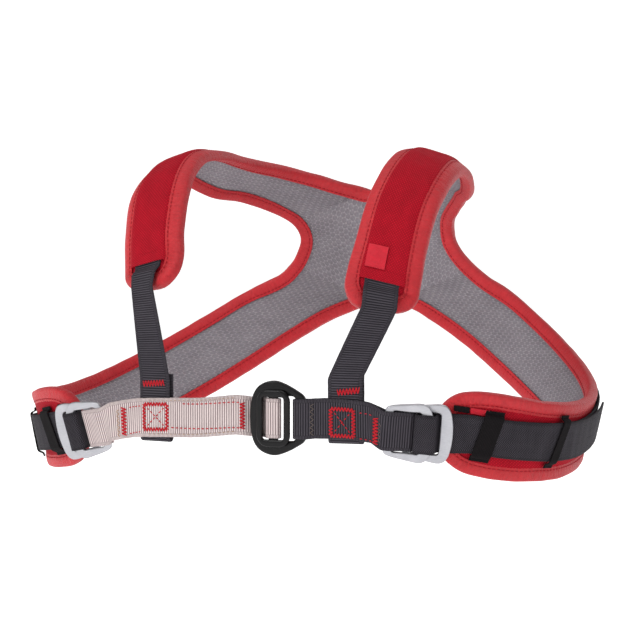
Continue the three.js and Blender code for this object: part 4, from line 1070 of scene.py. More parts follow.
def satin_tape(name, shadow, light, pucker=1.0):
    """Fine ribs across a folded tape, with puckers drawn towards its stitched edge, and painted
    shade: darker in the hollows of the folds and where the surface faces the back and the wearer's
    left, lighter where it faces the front and the wearer's right.
    """
    f = Finish(name, Sheen_Weight=0.04, Sheen_Roughness=0.35, Specular_IOR_Level=0.34)
    across, along = f.weave()
    rib = (along * (TURN / 0.62)).sine() * 0.5 + 0.5
    fold = f.noise(f.vector(across * 0.16, along * 0.42), 1.0, 3.0, 0.55)
    fine = f.noise(f.vector(across * 0.7, along * 1.7), 1.0, 2.0)
    cloud = f.noise(f.vector(across * 0.1, along * 0.06), 1.0, 2.0)
    to_left, to_back = f.faced()
    # painted shade by world direction: lighter where the surface faces the front and the wearer's
    # right, darker where it faces the back and the wearer's left
    facing = to_back * -0.3 + to_left * -0.12 + 0.1
    # painted shade: the tone follows the fold noise that also drives the bump, so the hollows of
    # the folds are darker
    tone = rib * 0.2 + fold * 0.6 + cloud * 0.3 + facing - 0.2
    f.surface(f.mix(tone.larger(0.0).smaller(1.0), shadow, light), 0.38 + fold * 0.16)
    f.bump(fold * (2.6 * pucker) + fine * 0.6 + rib * 0.3, 0.0005, 1.0)
    return f.material


def cell_mesh(name, rim, face, pitch):
    """Six-sided cells: three cosines sixty degrees apart, with a raised pale border."""
    f = Finish(name, Specular_IOR_Level=0.1)
    across, along = f.weave()
    sway = f.noise(f.vector(across, along), 0.12, 1.0)
    along = along + sway * 1.5
    k = 4 * math.pi / (math.sqrt(3) * pitch)
    slope = math.sqrt(3) / 2
    first = (across * k).cosine()
    second = ((across * 0.5 + along * slope) * k).cosine()
    third = ((across * 0.5 - along * slope) * k).cosine()
    cell = (first + second + third + 1.5) / 4.5
    border = 1 - cell.step(0.03, 0.2)
    pore = ((across * (TURN / 1.25)).sine() * (along * (TURN / 1.1)).sine()) * 0.5 + 0.5
    knit = f.noise(f.vector(across, along), 1.5, 2.0)
    cloud = f.noise(f.vector(across, along), 0.05, 2.0)
    tone = border * 0.42 + pore * 0.4 + knit * 0.45 + cloud * 0.35 - 0.38
    f.surface(f.mix(tone.larger(0.0).smaller(1.0), face, rim), 0.8)
    f.bump(border * 0.6 + pore * 0.4 + (1 - cell) * 0.8, 0.0009, 1.0)
    return f.material


def elastic_band(name, shadow, light):
    """Close ribs along the band with a dusting of pale lint."""
    f = Finish(name, Specular_IOR_Level=0.08)
    across, along = f.weave()
    rib = (across * (TURN / 1.1)).sine() * 0.5 + 0.5
    tick = (along * (TURN / 0.7)).sine() * 0.5 + 0.5
    lint = f.noise(f.vector(across, along), 2.4, 1.0).step(0.74, 0.8)
    tone = (rib * 0.5 + tick * 0.3 + lint * 0.9).smaller(1.0)
    f.surface(f.mix(tone, shadow, light), 0.75)
    f.bump(rib * 0.7 + tick * 0.3, 0.0002, 0.8)
    return f.material


def sewing_thread(name, shadow, light):
    """Twisted thread: slanting ply lines and a little uneven dye."""
    f = Finish(name, Specular_IOR_Level=0.25)
    across, along = f.weave()
    ply = ((along * 6.0 + across) * TURN).sine() * 0.5 + 0.5
    cloud = f.noise(f.spot(), 900.0, 1.0)
    f.surface(f.mix((ply * 0.5 + cloud * 0.6 - 0.1).larger(0.0).smaller(1.0), shadow, light), 0.5)
    return f.material


def brushed_aluminium(name, dull, bright):
    """Tumbled bare metal: cloudy brightness, fine scratches and small dents."""
    f = Finish(name)
    spot = f.spot()
    cloud = f.noise(spot, 60.0, 3.0)
    grain = f.noise(spot, 1800.0, 2.0)
    long = f.noise(f.node("ShaderNodeMapping", {}, {"Vector": spot, "Scale": (300, 300, 2600)}),
                   1.0, 2.0)
    tone = (cloud * 0.6 + long * 0.5 - 0.05).larger(0.0).smaller(1.0)
    f.surface(f.mix(tone, dull, bright), 0.3 + grain * 0.14 + long * 0.1, 0.9 + cloud * 0.1)
    f.bump(grain * 0.8 + long * 0.6 + cloud * 1.2, 0.00006, 0.7)
    return f.material


def black_coating(name, base, worn):
    """Smooth black coating over metal with faint specks and rubbed clouds."""
    f = Finish(name, Coat_Weight=0.2, Coat_Roughness=0.1, Specular_IOR_Level=0.15)
    spot = f.spot()
    cloud = f.noise(spot, 90.0, 3.0)
    speck = f.noise(spot, 1500.0, 2.0)
    tone = (cloud * 0.5 + speck.step(0.62, 0.8) * 0.5).smaller(1.0)
    f.surface(f.mix(tone, base, worn), 0.3 + cloud * 0.12 + speck * 0.06)
    f.bump(speck * 0.4 + cloud * 0.6, 0.00003, 0.5)
    return f.material


def pale_floor(name, low, high):
    """Even matt floor with a very faint cloud."""
    f = Finish(name, Specular_IOR_Level=0.1, Emission_Color=(1, 1, 1), Emission_Strength=FLOOR_GLOW)
    f.surface(f.mix(f.noise(f.spot(), 0.7, 2.0), low, high), 0.9)
    return f.material


# Shapes of the pad

def rim_distance(side, row, across):
    """Distance to the nearest bound edge; along the back's middle only the notches count."""
    row, across = np.broadcast_arrays(np.asarray(row, float), np.asarray(across, float))
    near = across / share_at(side, row, np.zeros_like(row), 1)
    far = (1 - across) / share_at(side, row, np.ones_like(row), 1)
    notch = np.minimum(row - TOP_NOTCH, BOTTOM_NOTCH - row) * PAD_ROW_LENGTH
    joined = notch > 0
    near = np.where(joined, np.hypot(near, notch), near)
    return np.minimum(near, far)


def pad_spot(side, row, across, height):
    """Inner face plus normal times (bow + height), the bow fading in from the bound edges."""
    row, across, height = np.broadcast_arrays(
        np.asarray(row, float), np.asarray(across, float), np.asarray(height, float))
    point = pad_point(side, row, across)
    normal = pad_normal(side, row, across)
    flat = (point[..., 0] < 1e-6)[..., None]
    normal = unit(np.where(flat, normal * [0, 1, 1], normal))
    fade = np.clip(rim_distance(side, row, across) / BINDING_WIDTH, 0, 1)
    raised = smooth_at(BOWS, row)[..., 0] * fade + height
    return to_side(side, point + normal * raised[..., None])


def travelled_rows(side, rows):
    """Length along the pad's middle at each row, counted from the back's upper notch."""
    fine = np.linspace(0, LAST_ROW, 1200)
    points = pad_point(side, fine, 0.5)
    length = np.concatenate([[0], np.cumsum(np.linalg.norm(np.diff(points, axis=0), axis=1))])
    length -= np.interp(TOP_NOTCH, fine, length)
    return np.interp(rows, fine, length)


def pad_sheet(side, rows, low, high, bottom, top, puff_in=0.0, puff_out=0.0, columns=22):
    """Closed sheet on the pad: its outer face from low to high, then its inner face back."""
    turn = 0.5 - 0.5 * np.cos(np.linspace(0, np.pi, columns))
    share = low[:, None] + (high - low)[:, None] * turn[None, :]
    row = np.broadcast_to(rows[:, None], share.shape)
    swell = smooth_step(rim_distance(side, row, share), BINDING_WIDTH - 2, BINDING_WIDTH + 7)
    outer = pad_spot(side, row, share, top + puff_out * swell)
    inner = pad_spot(side, row, share, bottom - puff_in * swell)
    wide = pad_wide(side, rows)[:, None]
    across = side * share * wide
    along = np.broadcast_to(travelled_rows(side, rows)[:, None], share.shape)
    points = np.concatenate([outer, inner[:, ::-1]], 1)
    ring = np.concatenate([across, across[:, ::-1], across[:, :1]], 1)
    lengths = np.concatenate([along, along, along[:, :1]], 1)
    return surface(points, np.stack([ring, lengths], -1), False, True, capped=True)


def yoke_sheet(side, bottom, top, inset, puff_in, puff_out):
    """The whole half of a pad layer, open where it joins the other half down the back."""
    first = 1.4 * inset / PAD_STEP
    last = LAST_ROW - 1.2 * inset / WING_STEP
    notch = inset / PAD_ROW_LENGTH
    rows = pad_rows(0.12, first, last)
    extra = [TOP_NOTCH + notch, BOTTOM_NOTCH - notch]
    rows = np.unique(np.concatenate([rows, extra]))
    cut = end_cut(rows) / pad_wide(side, rows)
    zeros, ones = np.zeros_like(rows), np.ones_like(rows)
    low = cut + share_at(side, rows, zeros, inset)
    joined = np.minimum(rows - TOP_NOTCH, BOTTOM_NOTCH - rows) / notch
    low = low * (1 - np.clip(joined, 0, 1))
    high = 1 - cut - share_at(side, rows, ones, inset)
    return pad_sheet(side, rows, low, high, bottom, top, puff_in, puff_out)


def join_halves(piece):
    """Merges the two halves along the back's middle and drops the wall between them."""
    build = bmesh.new()
    build.from_mesh(piece.data)
    inner = [face for face in build.faces if all(abs(v.co.x) < 1e-6 for v in face.verts)]
    bmesh.ops.delete(build, geom=inner, context="FACES_ONLY")
    middle = [v for v in build.verts if abs(v.co.x) < 1e-6]
    bmesh.ops.remove_doubles(build, verts=middle, dist=1e-6)
    build.to_mesh(piece.data)
    build.free()
    piece.data.update()


def outline_runs():
    """The yoke's outline once round, as runs of (side, rows, places across)."""
    fine = pad_rows(0.05)

    def edge(side, rows, outer):
        cut = np.minimum(end_cut(rows) / pad_wide(side, rows), 0.495)
        return side, rows, 1 - cut if outer else cut

    def link(side, row, outward):
        cut = float(min(end_cut(np.float64(row)) / pad_wide(side, np.float64(row)), 0.495))
        places = np.linspace(cut, 1 - cut, 30)
        return side, np.full(30, float(row)), places if outward else places[::-1]

    upper, lower = fine[fine <= TOP_NOTCH], fine[fine >= BOTTOM_NOTCH]
    return [
        edge(1, fine, True), link(1, LAST_ROW, False), edge(1, lower[::-1], False),
        edge(-1, lower, False), link(-1, LAST_ROW, True), edge(-1, fine[::-1], True),
        link(-1, 0, False), edge(-1, upper, False), edge(1, upper[::-1], False),
        link(1, 0, True),
    ]


def nearest_on_pad(side, rows, across, target):
    """Place of the inner face nearest to a point, by repeated steps on the tangent plane."""
    row, share = rows.copy(), across.copy()
    for _ in range(12):
        here = pad_point(side, row, share)
        step_row = np.where(row < LAST_ROW - 0.1, 0.02, -0.02)
        step_share = np.where(share < 0.5, 0.02, -0.02)
        along = (pad_point(side, row + step_row, share) - here) / step_row[:, None]
        wide = (pad_point(side, row, share + step_share) - here) / step_share[:, None]
        miss = target - here
        aa, ab, bb = (np.sum(p * q, -1) for p, q in ((along, along), (along, wide), (wide, wide)))
        am, bm = np.sum(along * miss, -1), np.sum(wide * miss, -1)
        determinant = aa * bb - ab * ab
        row = np.clip(row + (am * bb - bm * ab) / determinant, 0, LAST_ROW)
        share = np.clip(share + (aa * bm - ab * am) / determinant, 0, 1)
    return row, share


class Edge:
    """The bound outline: rim points, their normals, and the tape's inner edge for each."""

    def __init__(self, step=1.0):
        sides, rows, across = [], [], []
        for side, run_rows, run_across in outline_runs():
            points = pad_point(side, run_rows, run_across)
            steps = np.linalg.norm(np.diff(points, axis=0), axis=1)
            length = np.concatenate([[0], np.cumsum(steps)])
            count = max(int(round(length[-1] / step)), 1)
            places = np.linspace(0, length[-1], count + 1)[:-1]
            rows.append(np.interp(places, length, run_rows))
            across.append(np.interp(places, length, run_across))
            sides.append(np.full(count, side))
        side, row, share = (np.concatenate(v) for v in (sides, rows, across))
        self.rim = np.zeros((len(side), 3))
        self.normal = np.zeros_like(self.rim)
        for s in (1, -1):
            mine = side == s
            self.rim[mine] = to_side(s, pad_point(s, row[mine], share[mine]))
            self.normal[mine] = to_side(s, pad_normal(s, row[mine], share[mine]))
        middle = np.abs(self.rim[:, 0]) < 1e-6
        self.normal[middle, 0] = 0
        self.normal = unit(self.normal)
        along = np.roll(self.rim, -1, 0) - np.roll(self.rim, 1, 0)
        self.inward = -unit(np.cross(along, self.normal))
        target = self.rim + self.inward * BINDING_WIDTH
        self.inner = np.zeros_like(self.rim)
        self.inner_normal = np.zeros_like(self.rim)
        for s in (1, -1):
            mine = side == s
            near_row, near_share = nearest_on_pad(s, row[mine], share[mine],
                                                  to_side(s, target[mine]))
            low = pad_spot(s, near_row, near_share, 0)
            self.inner[mine] = low
            self.inner_normal[mine] = unit(pad_spot(s, near_row, near_share, 1) - low)
        steps = np.linalg.norm(np.roll(self.rim, -1, 0) - self.rim, axis=1)
        self.length = float(steps.sum())
        self.travelled = np.concatenate([[0], np.cumsum(steps)[:-1]])

    def at(self, inside, height):
        """Point a distance in from the rim: its rim's point blended with its inner edge's."""
        inside, height = np.asarray(inside)[..., None], np.asarray(height)[..., None]
        share = inside / BINDING_WIDTH
        rim = self.rim[:, None] + self.normal[:, None] * height
        inner = self.inner[:, None] + self.inner_normal[:, None] * height
        return rim + (inner - rim) * share


# Cross-section of the folded tape: (distance in from the rim, height above the inner face)
TAPE_GROOVE = 8.2
TAPE_TOP = [(0.0, 2.9), (0.25, 1.6), (0.9, 0.65), (2.2, 0.12), (4.0, -0.1), (6.0, -0.12),
            (7.4, 0.1), (7.9, 0.3), (TAPE_GROOVE, 0.42), (8.6, 0.3), (9.2, 0.2), (10.1, 0.35),
            (10.42, 0.5), (10.5, 0.75)]
TAPE_WALL = [(10.4, 0.95), (8.0, 1.0), (4.0, 0.95), (1.8, 1.7)]


def tape_outline():
    """Tape outline once round, from the inside bottom edge over the rim to the top one."""
    top = np.array(TAPE_TOP)
    wall = np.array(TAPE_WALL)
    middle = (BINDING_TOP + BINDING_BOTTOM) / 2
    upper = np.stack([top[:, 0], BINDING_TOP - top[:, 1]], -1)
    lower = np.stack([top[::-1, 0], BINDING_BOTTOM + top[::-1, 1]], -1)
    upper_wall = np.stack([wall[:, 0], BINDING_TOP - wall[:, 1]], -1)
    lower_wall = np.stack([wall[::-1, 0], BINDING_BOTTOM + wall[::-1, 1]], -1)
    return np.vstack([lower, [[-0.15, middle]], upper, upper_wall, [[1.1, middle]], lower_wall])


def binding_part(edge):
    """Tape outline carried round the rim, puckered by waves that grow towards its stitches."""
    outline = tape_outline()
    inside = np.broadcast_to(outline[:, 0], (len(edge.rim), len(outline))).copy()
    height = np.broadcast_to(outline[:, 1], inside.shape).copy()
    middle = (BINDING_TOP + BINDING_BOTTOM) / 2
    top = outline[:, 1] > middle + 0.5
    bottom = outline[:, 1] < middle - 0.5
    reach = np.clip(outline[:, 0] / BINDING_WIDTH, 0, 1)
    bulge = np.exp(-((reach - 0.8) / 0.28) ** 2)
    for face, seed in ((top, 11), (bottom, 23)):
        small = waves(edge.length, edge.travelled, 4.2, seed, 7)
        large = waves(edge.length, edge.travelled, 40.0, seed + 1, 5)
        wave = small * 0.3 * (0.55 + 0.45 * large) + large * 0.1
        height[:, face] += wave[:, None] * bulge[None, face]
    rim_wave = waves(edge.length, edge.travelled, 24.0, 5, 6) * 0.12
    inside += rim_wave[:, None] * (1 - reach)[None, :]
    points = edge.at(inside, height)
    steps = np.linalg.norm(np.diff(outline, axis=0, append=outline[:1]), axis=1)
    around = np.concatenate([[0], np.cumsum(steps)])
    along = np.append(edge.travelled, edge.length)
    weave = np.stack(np.broadcast_arrays(around[None, :], along[:, None]), -1)
    return surface(points, weave, True, True)


def sleeve_room(side, row):
    """Half of the pad's width between the bindings' inner edges."""
    zeros, ones = np.zeros_like(row), np.ones_like(row)
    margin = np.maximum(share_at(side, row, zeros, BINDING_WIDTH - 0.5),
                        share_at(side, row, ones, BINDING_WIDTH - 0.5))
    return pad_wide(side, row) * (0.5 - margin)


def sleeve_height(row, share, hem=0.0):
    """Height of the sleeve's top: a mound (1 - u^6)^(1/2), lower where no webbing is inside."""
    full = SLEEVE_TOP - FACING_BOTTOM
    fall = 1 - 0.62 * smooth_step(row, 6.0, 11.5)
    mound = np.sqrt(np.clip(1 - np.abs(share) ** 6, 0, 1))
    band = hem * (1 - smooth_step(row, SLEEVE_MOUTH + 0.36, SLEEVE_MOUTH + 0.40))
    return FACING_BOTTOM + 0.35 + (full * fall - 0.45) * mound + band * (0.1 + 0.9 * mound)


def sleeve_part(side):
    """Mound over the shoulder webbing, a cloth's thickness deep, with a turned hem."""
    edge_rows = SLEEVE_MOUTH + np.array([0, 0.02, 0.1, 0.2, 0.3, 0.36, 0.37, 0.38, 0.39, 0.4])
    rows = np.concatenate([edge_rows, np.arange(SLEEVE_MOUTH + 0.46, SLEEVE_END, 0.08)])
    share = np.sin(np.linspace(-np.pi / 2, np.pi / 2, 31))
    row, across = np.meshgrid(rows, share, indexing="ij")
    at, wide, out = pad_frame(side, row)
    room = sleeve_room(side, row)
    along = travelled_rows(side, rows)[:, None] + 0 * across
    length = abs(float(along[-1, 0] - along[0, 0]))
    travelled = np.abs(along - along[0, 0])
    fold = waves(length, travelled, 16.0, 31 + side, 4) * 0.22
    fold = fold + waves(length, travelled + across * 6, 6.0, 47 + side, 5) * 0.12
    fold = fold * (1 - across ** 2)
    height = sleeve_height(row, across, 0.45) + fold
    side_way = wide * (across * room * side)[..., None]
    top = at + side_way + out * height[..., None]
    bottom = at + side_way * 0.995 + out * (height - 0.75)[..., None]
    points = np.concatenate([top, bottom[:, ::-1]], 1)
    spread = across * room
    ring = np.concatenate([spread, spread[:, ::-1], spread[:, :1]], 1)
    lengths = np.concatenate([along, along, along[:, :1]], 1)
    return surface(points, np.stack([ring, lengths], -1), False, True, capped=True)


def facing_part(side):
    """Cloth of the wing between its two bound edges."""
    rows = pad_rows(0.12, *FACING_ROWS)
    margin = BINDING_WIDTH - 0.4
    low = share_at(side, rows, np.zeros_like(rows), margin)
    high = 1 - share_at(side, rows, np.ones_like(rows), margin)
    return pad_sheet(side, rows, low, high, FACING_BOTTOM, FACING_TOP, 0, 0.1, 12)


def tag_part():
    """Small blank label on the sleeve of the pad on +X, lying along its neck-side edge."""
    width, height = TAG_SIZE
    rows = np.linspace(TAG_ROW, TAG_ROW + height / PAD_ROW_LENGTH, 14)
    places = np.linspace(-13.6, -13.6 + width, 16)
    row, place = np.meshgrid(rows, places, indexing="ij")
    at, wide, out = pad_frame(1, row)
    share = np.clip(place / sleeve_room(1, row), -0.97, 1)
    base = sleeve_height(row, share, 0.45)
    curl = 0.35 + 0.5 * smooth_step(-share, 0.7, 1.0)
    top = at + wide * place[..., None] + out * (base + curl + 0.55)[..., None]
    low = at + wide * place[..., None] + out * (base + curl)[..., None]
    points = np.concatenate([top, low[:, ::-1]], 1)
    along = row * PAD_ROW_LENGTH
    ring = np.concatenate([place, place[:, ::-1], place[:, :1]], 1)
    lengths = np.concatenate([along, along, along[:, :1]], 1)
    return surface(points, np.stack([ring, lengths], -1), False, True, capped=True)


# Shapes of the metal

def smooth_outline(points, count=220):
    """Closed Catmull-Rom curve through the corners given, sampled evenly by place."""
    points = np.asarray(points, float)
    stops = np.vstack([points[-1:], points, points[:2]])
    places = 1 + np.arange(count) * len(points) / count
    return smooth_at(stops, places)


def rounded_box(left, right, half, radius, count=220):
    """Rectangle with quarter-round corners, sampled by the angle seen from its middle."""
    centre = np.array([(left + right) / 2, 0.0])
    angle = np.arange(count) * 2 * np.pi / count
    ray = np.stack([np.cos(angle), np.sin(angle)], -1)
    size = np.array([(right - left) / 2, half])
    core = size - radius
    low, high = np.zeros(count), np.full(count, 4 * float(size.max()))
    for _ in range(40):
        middle = (low + high) / 2
        spot = np.abs(ray * middle[:, None])
        over = np.maximum(spot - core, 0)
        outside = np.hypot(over[:, 0], over[:, 1]) > radius
        high = np.where(outside, middle, high)
        low = np.where(outside, low, middle)
    return centre + ray * low[:, None]


def seen_from(outline, centre, count=220):
    """The same closed outline sampled by the angle seen from a centre."""
    spokes = outline - centre
    angle = np.arctan2(spokes[:, 1], spokes[:, 0])
    reach = np.hypot(spokes[:, 0], spokes[:, 1])
    order = np.argsort(angle)
    wanted = (np.arange(count) * 2 * np.pi / count + np.pi) % (2 * np.pi) - np.pi
    length = np.interp(wanted, angle[order], reach[order], period=2 * np.pi)
    return centre + np.stack([np.cos(wanted), np.sin(wanted)], -1) * length[:, None]


def plate_ring(hardware, outer, inner, back, thickness, along=0.0, soft=1.0):
    """Rounded bar section carried round between an outer and an inner outline.

    The section runs c + h (|h| - r + r cos a) / |h| across and r sin a out at each corner.
    """
    corners = np.linspace(0, np.pi / 2, 5)
    radius = min(soft, thickness / 2 - 0.05)
    middle = (outer + inner) / 2
    half = (outer - inner) / 2
    reach = np.linalg.norm(half, axis=-1, keepdims=True)
    across, depth = [], []
    for turn in range(4):
        angle = corners + turn * np.pi / 2
        sign_a = 1 if turn in (0, 3) else -1
        sign_b = 1 if turn in (0, 1) else -1
        across.append(sign_a * (reach - radius) + radius * np.cos(angle)[None, :])
        depth.append(sign_b * (thickness / 2 - radius) + radius * np.sin(angle))
    across = np.concatenate(across, 1) / reach
    depth = np.concatenate(depth)
    flat = middle[:, None] + half[:, None] * across[..., None]
    points = on_frame(hardware, along + flat[..., 0], back + thickness / 2 + depth[None, :],
                      flat[..., 1])
    weave = np.zeros((len(outer) + 1, len(depth) + 1, 2))
    weave[:, :, 0] = np.arange(len(depth) + 1)[None, :]
    weave[:, :, 1] = np.arange(len(outer) + 1)[:, None]
    return surface(points, weave, True, True)


def ring_part(side, middle, back):
    """Adjuster ring: a straight inner bar, spread sides and a wide bowed outer bar."""
    inner, outer, end = RING_INNER_HEIGHT / 2, RING_OUTER_HEIGHT / 2, RING_HALF
    upper = [(end + 0.4, 3.0), (end - 0.2, outer * 0.42), (end - 1.6, outer * 0.72),
             (end - 4.6, outer * 0.93), (end - 9.5, outer * 0.998), (end - 18, outer * 0.95),
             (-end + 8, inner + 1.5), (-end + 3.6, inner + 0.4), (-end + 1.0, inner - 1.0),
             (-end, inner - 4.2), (-end, inner - 10)]
    points = np.array(upper + [(x, -y) for x, y in reversed(upper)])
    left, right = -end + RING_INNER_BAR, end - RING_OUTER_BAR
    centre = np.array([(left + right) / 2, 0.0])
    rim = seen_from(smooth_outline(points, 900), centre) * [side, 1]
    window = rounded_box(left, right, RING_WINDOW_HEIGHT / 2, 2.2) * [side, 1]
    return plate_ring(RING_FRAMES[side], rim, window, back, RING_THICKNESS, side * middle, 1.1)


def buckle_ring_part():
    """Shield-shaped buckle ring, higher towards -X, with an upright window."""
    half = BUCKLE_HEIGHT / 2
    upper = np.array([(-1.0, 0.12), (-0.965, 0.38), (-0.87, 0.66), (-0.68, 0.86),
                      (-0.38, 0.98), (-0.05, 1.00), (0.32, 0.90), (0.66, 0.755),
                      (0.90, 0.62), (0.985, 0.44), (1.0, 0.15)]) * [BUCKLE_HALF, half]
    points = np.vstack([upper, upper[::-1] * [1, -1]])
    left, right = -BUCKLE_HALF + BUCKLE_LEFT_BAR, BUCKLE_HALF - BUCKLE_RIGHT_BAR
    centre = np.array([(left + right) / 2, 0.0])
    rim = seen_from(smooth_outline(points, 900), centre)
    window = rounded_box(left, right, BUCKLE_WINDOW_HEIGHT / 2, 3.0)
    return plate_ring(BUCKLE_FRAME, rim, window, BUCKLE_BACK, BUCKLE_THICKNESS, 0, 1.3)


def toggle_parts():
    """Toggle plate with its window, and the low bar across it that carries the webbing."""
    half = TOGGLE_LENGTH / 2
    left = TOGGLE_WINDOW_PLACE - TOGGLE_WINDOW / 2
    right = TOGGLE_WINDOW_PLACE + TOGGLE_WINDOW / 2
    centre = np.array([TOGGLE_WINDOW_PLACE, 0.0])
    box = rounded_box(-half, half, TOGGLE_HEIGHT / 2, 8.5, 900)
    rim = seen_from(box, centre)
    window = rounded_box(left, right, RING_WINDOW_HEIGHT / 2, 1.8)
    plate = plate_ring(BUCKLE_FRAME, rim, window, TOGGLE_BACK, TOGGLE_THICKNESS,
                       TOGGLE_PLACE, 1.4)
    edges = BUCKLE_BARS["toggle"]
    depth = edges["front"] - edges["back"]
    angle = np.arange(24) * 2 * np.pi / 24
    across = np.sign(np.cos(angle)) * np.abs(np.cos(angle)) ** 0.6 * TOGGLE_BAR / 2
    out = np.sign(np.sin(angle)) * np.abs(np.sin(angle)) ** 0.6 * depth / 2
    heights = np.linspace(-RING_WINDOW_HEIGHT / 2 - 0.6, RING_WINDOW_HEIGHT / 2 + 0.6, 9)
    points = on_frame(BUCKLE_FRAME, TOGGLE_BAR_PLACE + across[None, :],
                      edges["back"] + depth / 2 + out[None, :], heights[:, None])
    weave = np.zeros((9, 25, 2))
    return [plate, surface(points, weave, False, True, capped=True)]


# Properties

def colour_property(name, description, display):
    """A colour setting whose default is given as a display colour from 0 to 255."""
    return bpy.props.FloatVectorProperty(
        name=name, description=description, default=linear(*display), subtype="COLOR",
        size=3, min=0, max=1)


class HarnessClothSettings(bpy.types.PropertyGroup):
    """Colours and stitch sizes of cloth, tape and mesh."""

    tape_light: colour_property("Tape light", "Lit side of the edge binding", (212, 44, 52))
    tape_shadow: colour_property("Tape shadow", "Folds of the edge binding", (146, 12, 24))
    cloth_light: colour_property("Cloth light", "Raised threads of the cloth", (218, 20, 46))
    cloth_shadow: colour_property("Cloth shadow", "Gaps between threads", (138, 5, 23))
    mesh_face: colour_property("Mesh face", "Middle of a cell", (124, 118, 125))
    mesh_rim: colour_property("Mesh rim", "Raised border of a cell", (190, 185, 190))
    cell: bpy.props.FloatProperty(name="Cell", description="Distance between mesh cells, mm",
                                  default=4.4, min=2, max=10)
    stitch: bpy.props.FloatProperty(name="Stitch", description="Length of one stitch",
                                    default=0.0026, min=0.001, max=0.006, unit="LENGTH")
    stitch_gap: bpy.props.FloatProperty(name="Gap", description="Gap between two stitches",
                                        default=0.0008, min=0.0002, max=0.003, unit="LENGTH")


class HarnessWebbingSettings(bpy.types.PropertyGroup):
    """Colours and ribs of the webbing and its threads."""

    dark_crest: colour_property("Dark crest", "Rib crests of the dark webbing", (76, 72, 79))
    dark_valley: colour_property("Dark valley", "Between the dark ribs", (22, 20, 24))
    pale_crest: colour_property("Pale crest", "Rib crests of the pale webbing", (232, 217, 214))
    pale_valley: colour_property("Pale valley", "Between the pale ribs", (112, 94, 98))
    thread_red: colour_property("Red thread", "Tacks and rows in red", (205, 26, 42))
    thread_tan: colour_property("Tan thread", "Tacks in tan", (196, 160, 130))
    rib: bpy.props.FloatProperty(name="Rib", description="Distance between ribs, mm",
                                 default=1.8, min=0.8, max=4)


class HarnessMetalSettings(bpy.types.PropertyGroup):
    """Colours of rings and buckle."""

    bright: colour_property("Bright", "Polished rings", (206, 206, 210))
    dull: colour_property("Dull", "Worn rings", (150, 150, 156))
    coating: colour_property("Coating", "Coated buckle", (7, 6, 7))
    rubbed: colour_property("Rubbed", "Rubbed coating", (20, 18, 20))


def settings():
    """The three groups of settings on the scene."""
    scene = bpy.context.scene
    return scene.harness_cloth, scene.harness_webbing, scene.harness_metal


def both_sides(maker, *rest):
    """One part for each side."""
    return [maker(side, *rest) for side in (1, -1)]


NAMES = {1: "left", -1: "right"}


# Operators

# Name, place in metres, size in metres and power in watts
LAMPS = (
    ("key", (-1.3, -1.9, 2.0), (1.2, 1.2), 40.0),
    ("fill", (2.2, -1.5, 0.7), (1.6, 1.6), 8.0),
    ("top", (0.2, 0.4, 2.4), (1.6, 1.6), 16.0),
    ("back", (0.6, 2.4, 1.2), (1.8, 1.4), 8.0),
)
LAMP_AIM = (0, 0, -0.12)
CAMERA_AIM = (0, 0.015, -0.12)
CAMERA_AWAY = 1.8
CAMERA_YAW = 24
CAMERA_PITCH = 3
WORLD_LIGHT = 0.3
FLOOR_GLOW = 0.58
FLOOR_RADIUS = 6.0
FLOOR_HEIGHT = -0.30
FLOOR_RISE = 1.8
FLOOR_RINGS = 40
FLOOR_TURNS = 96


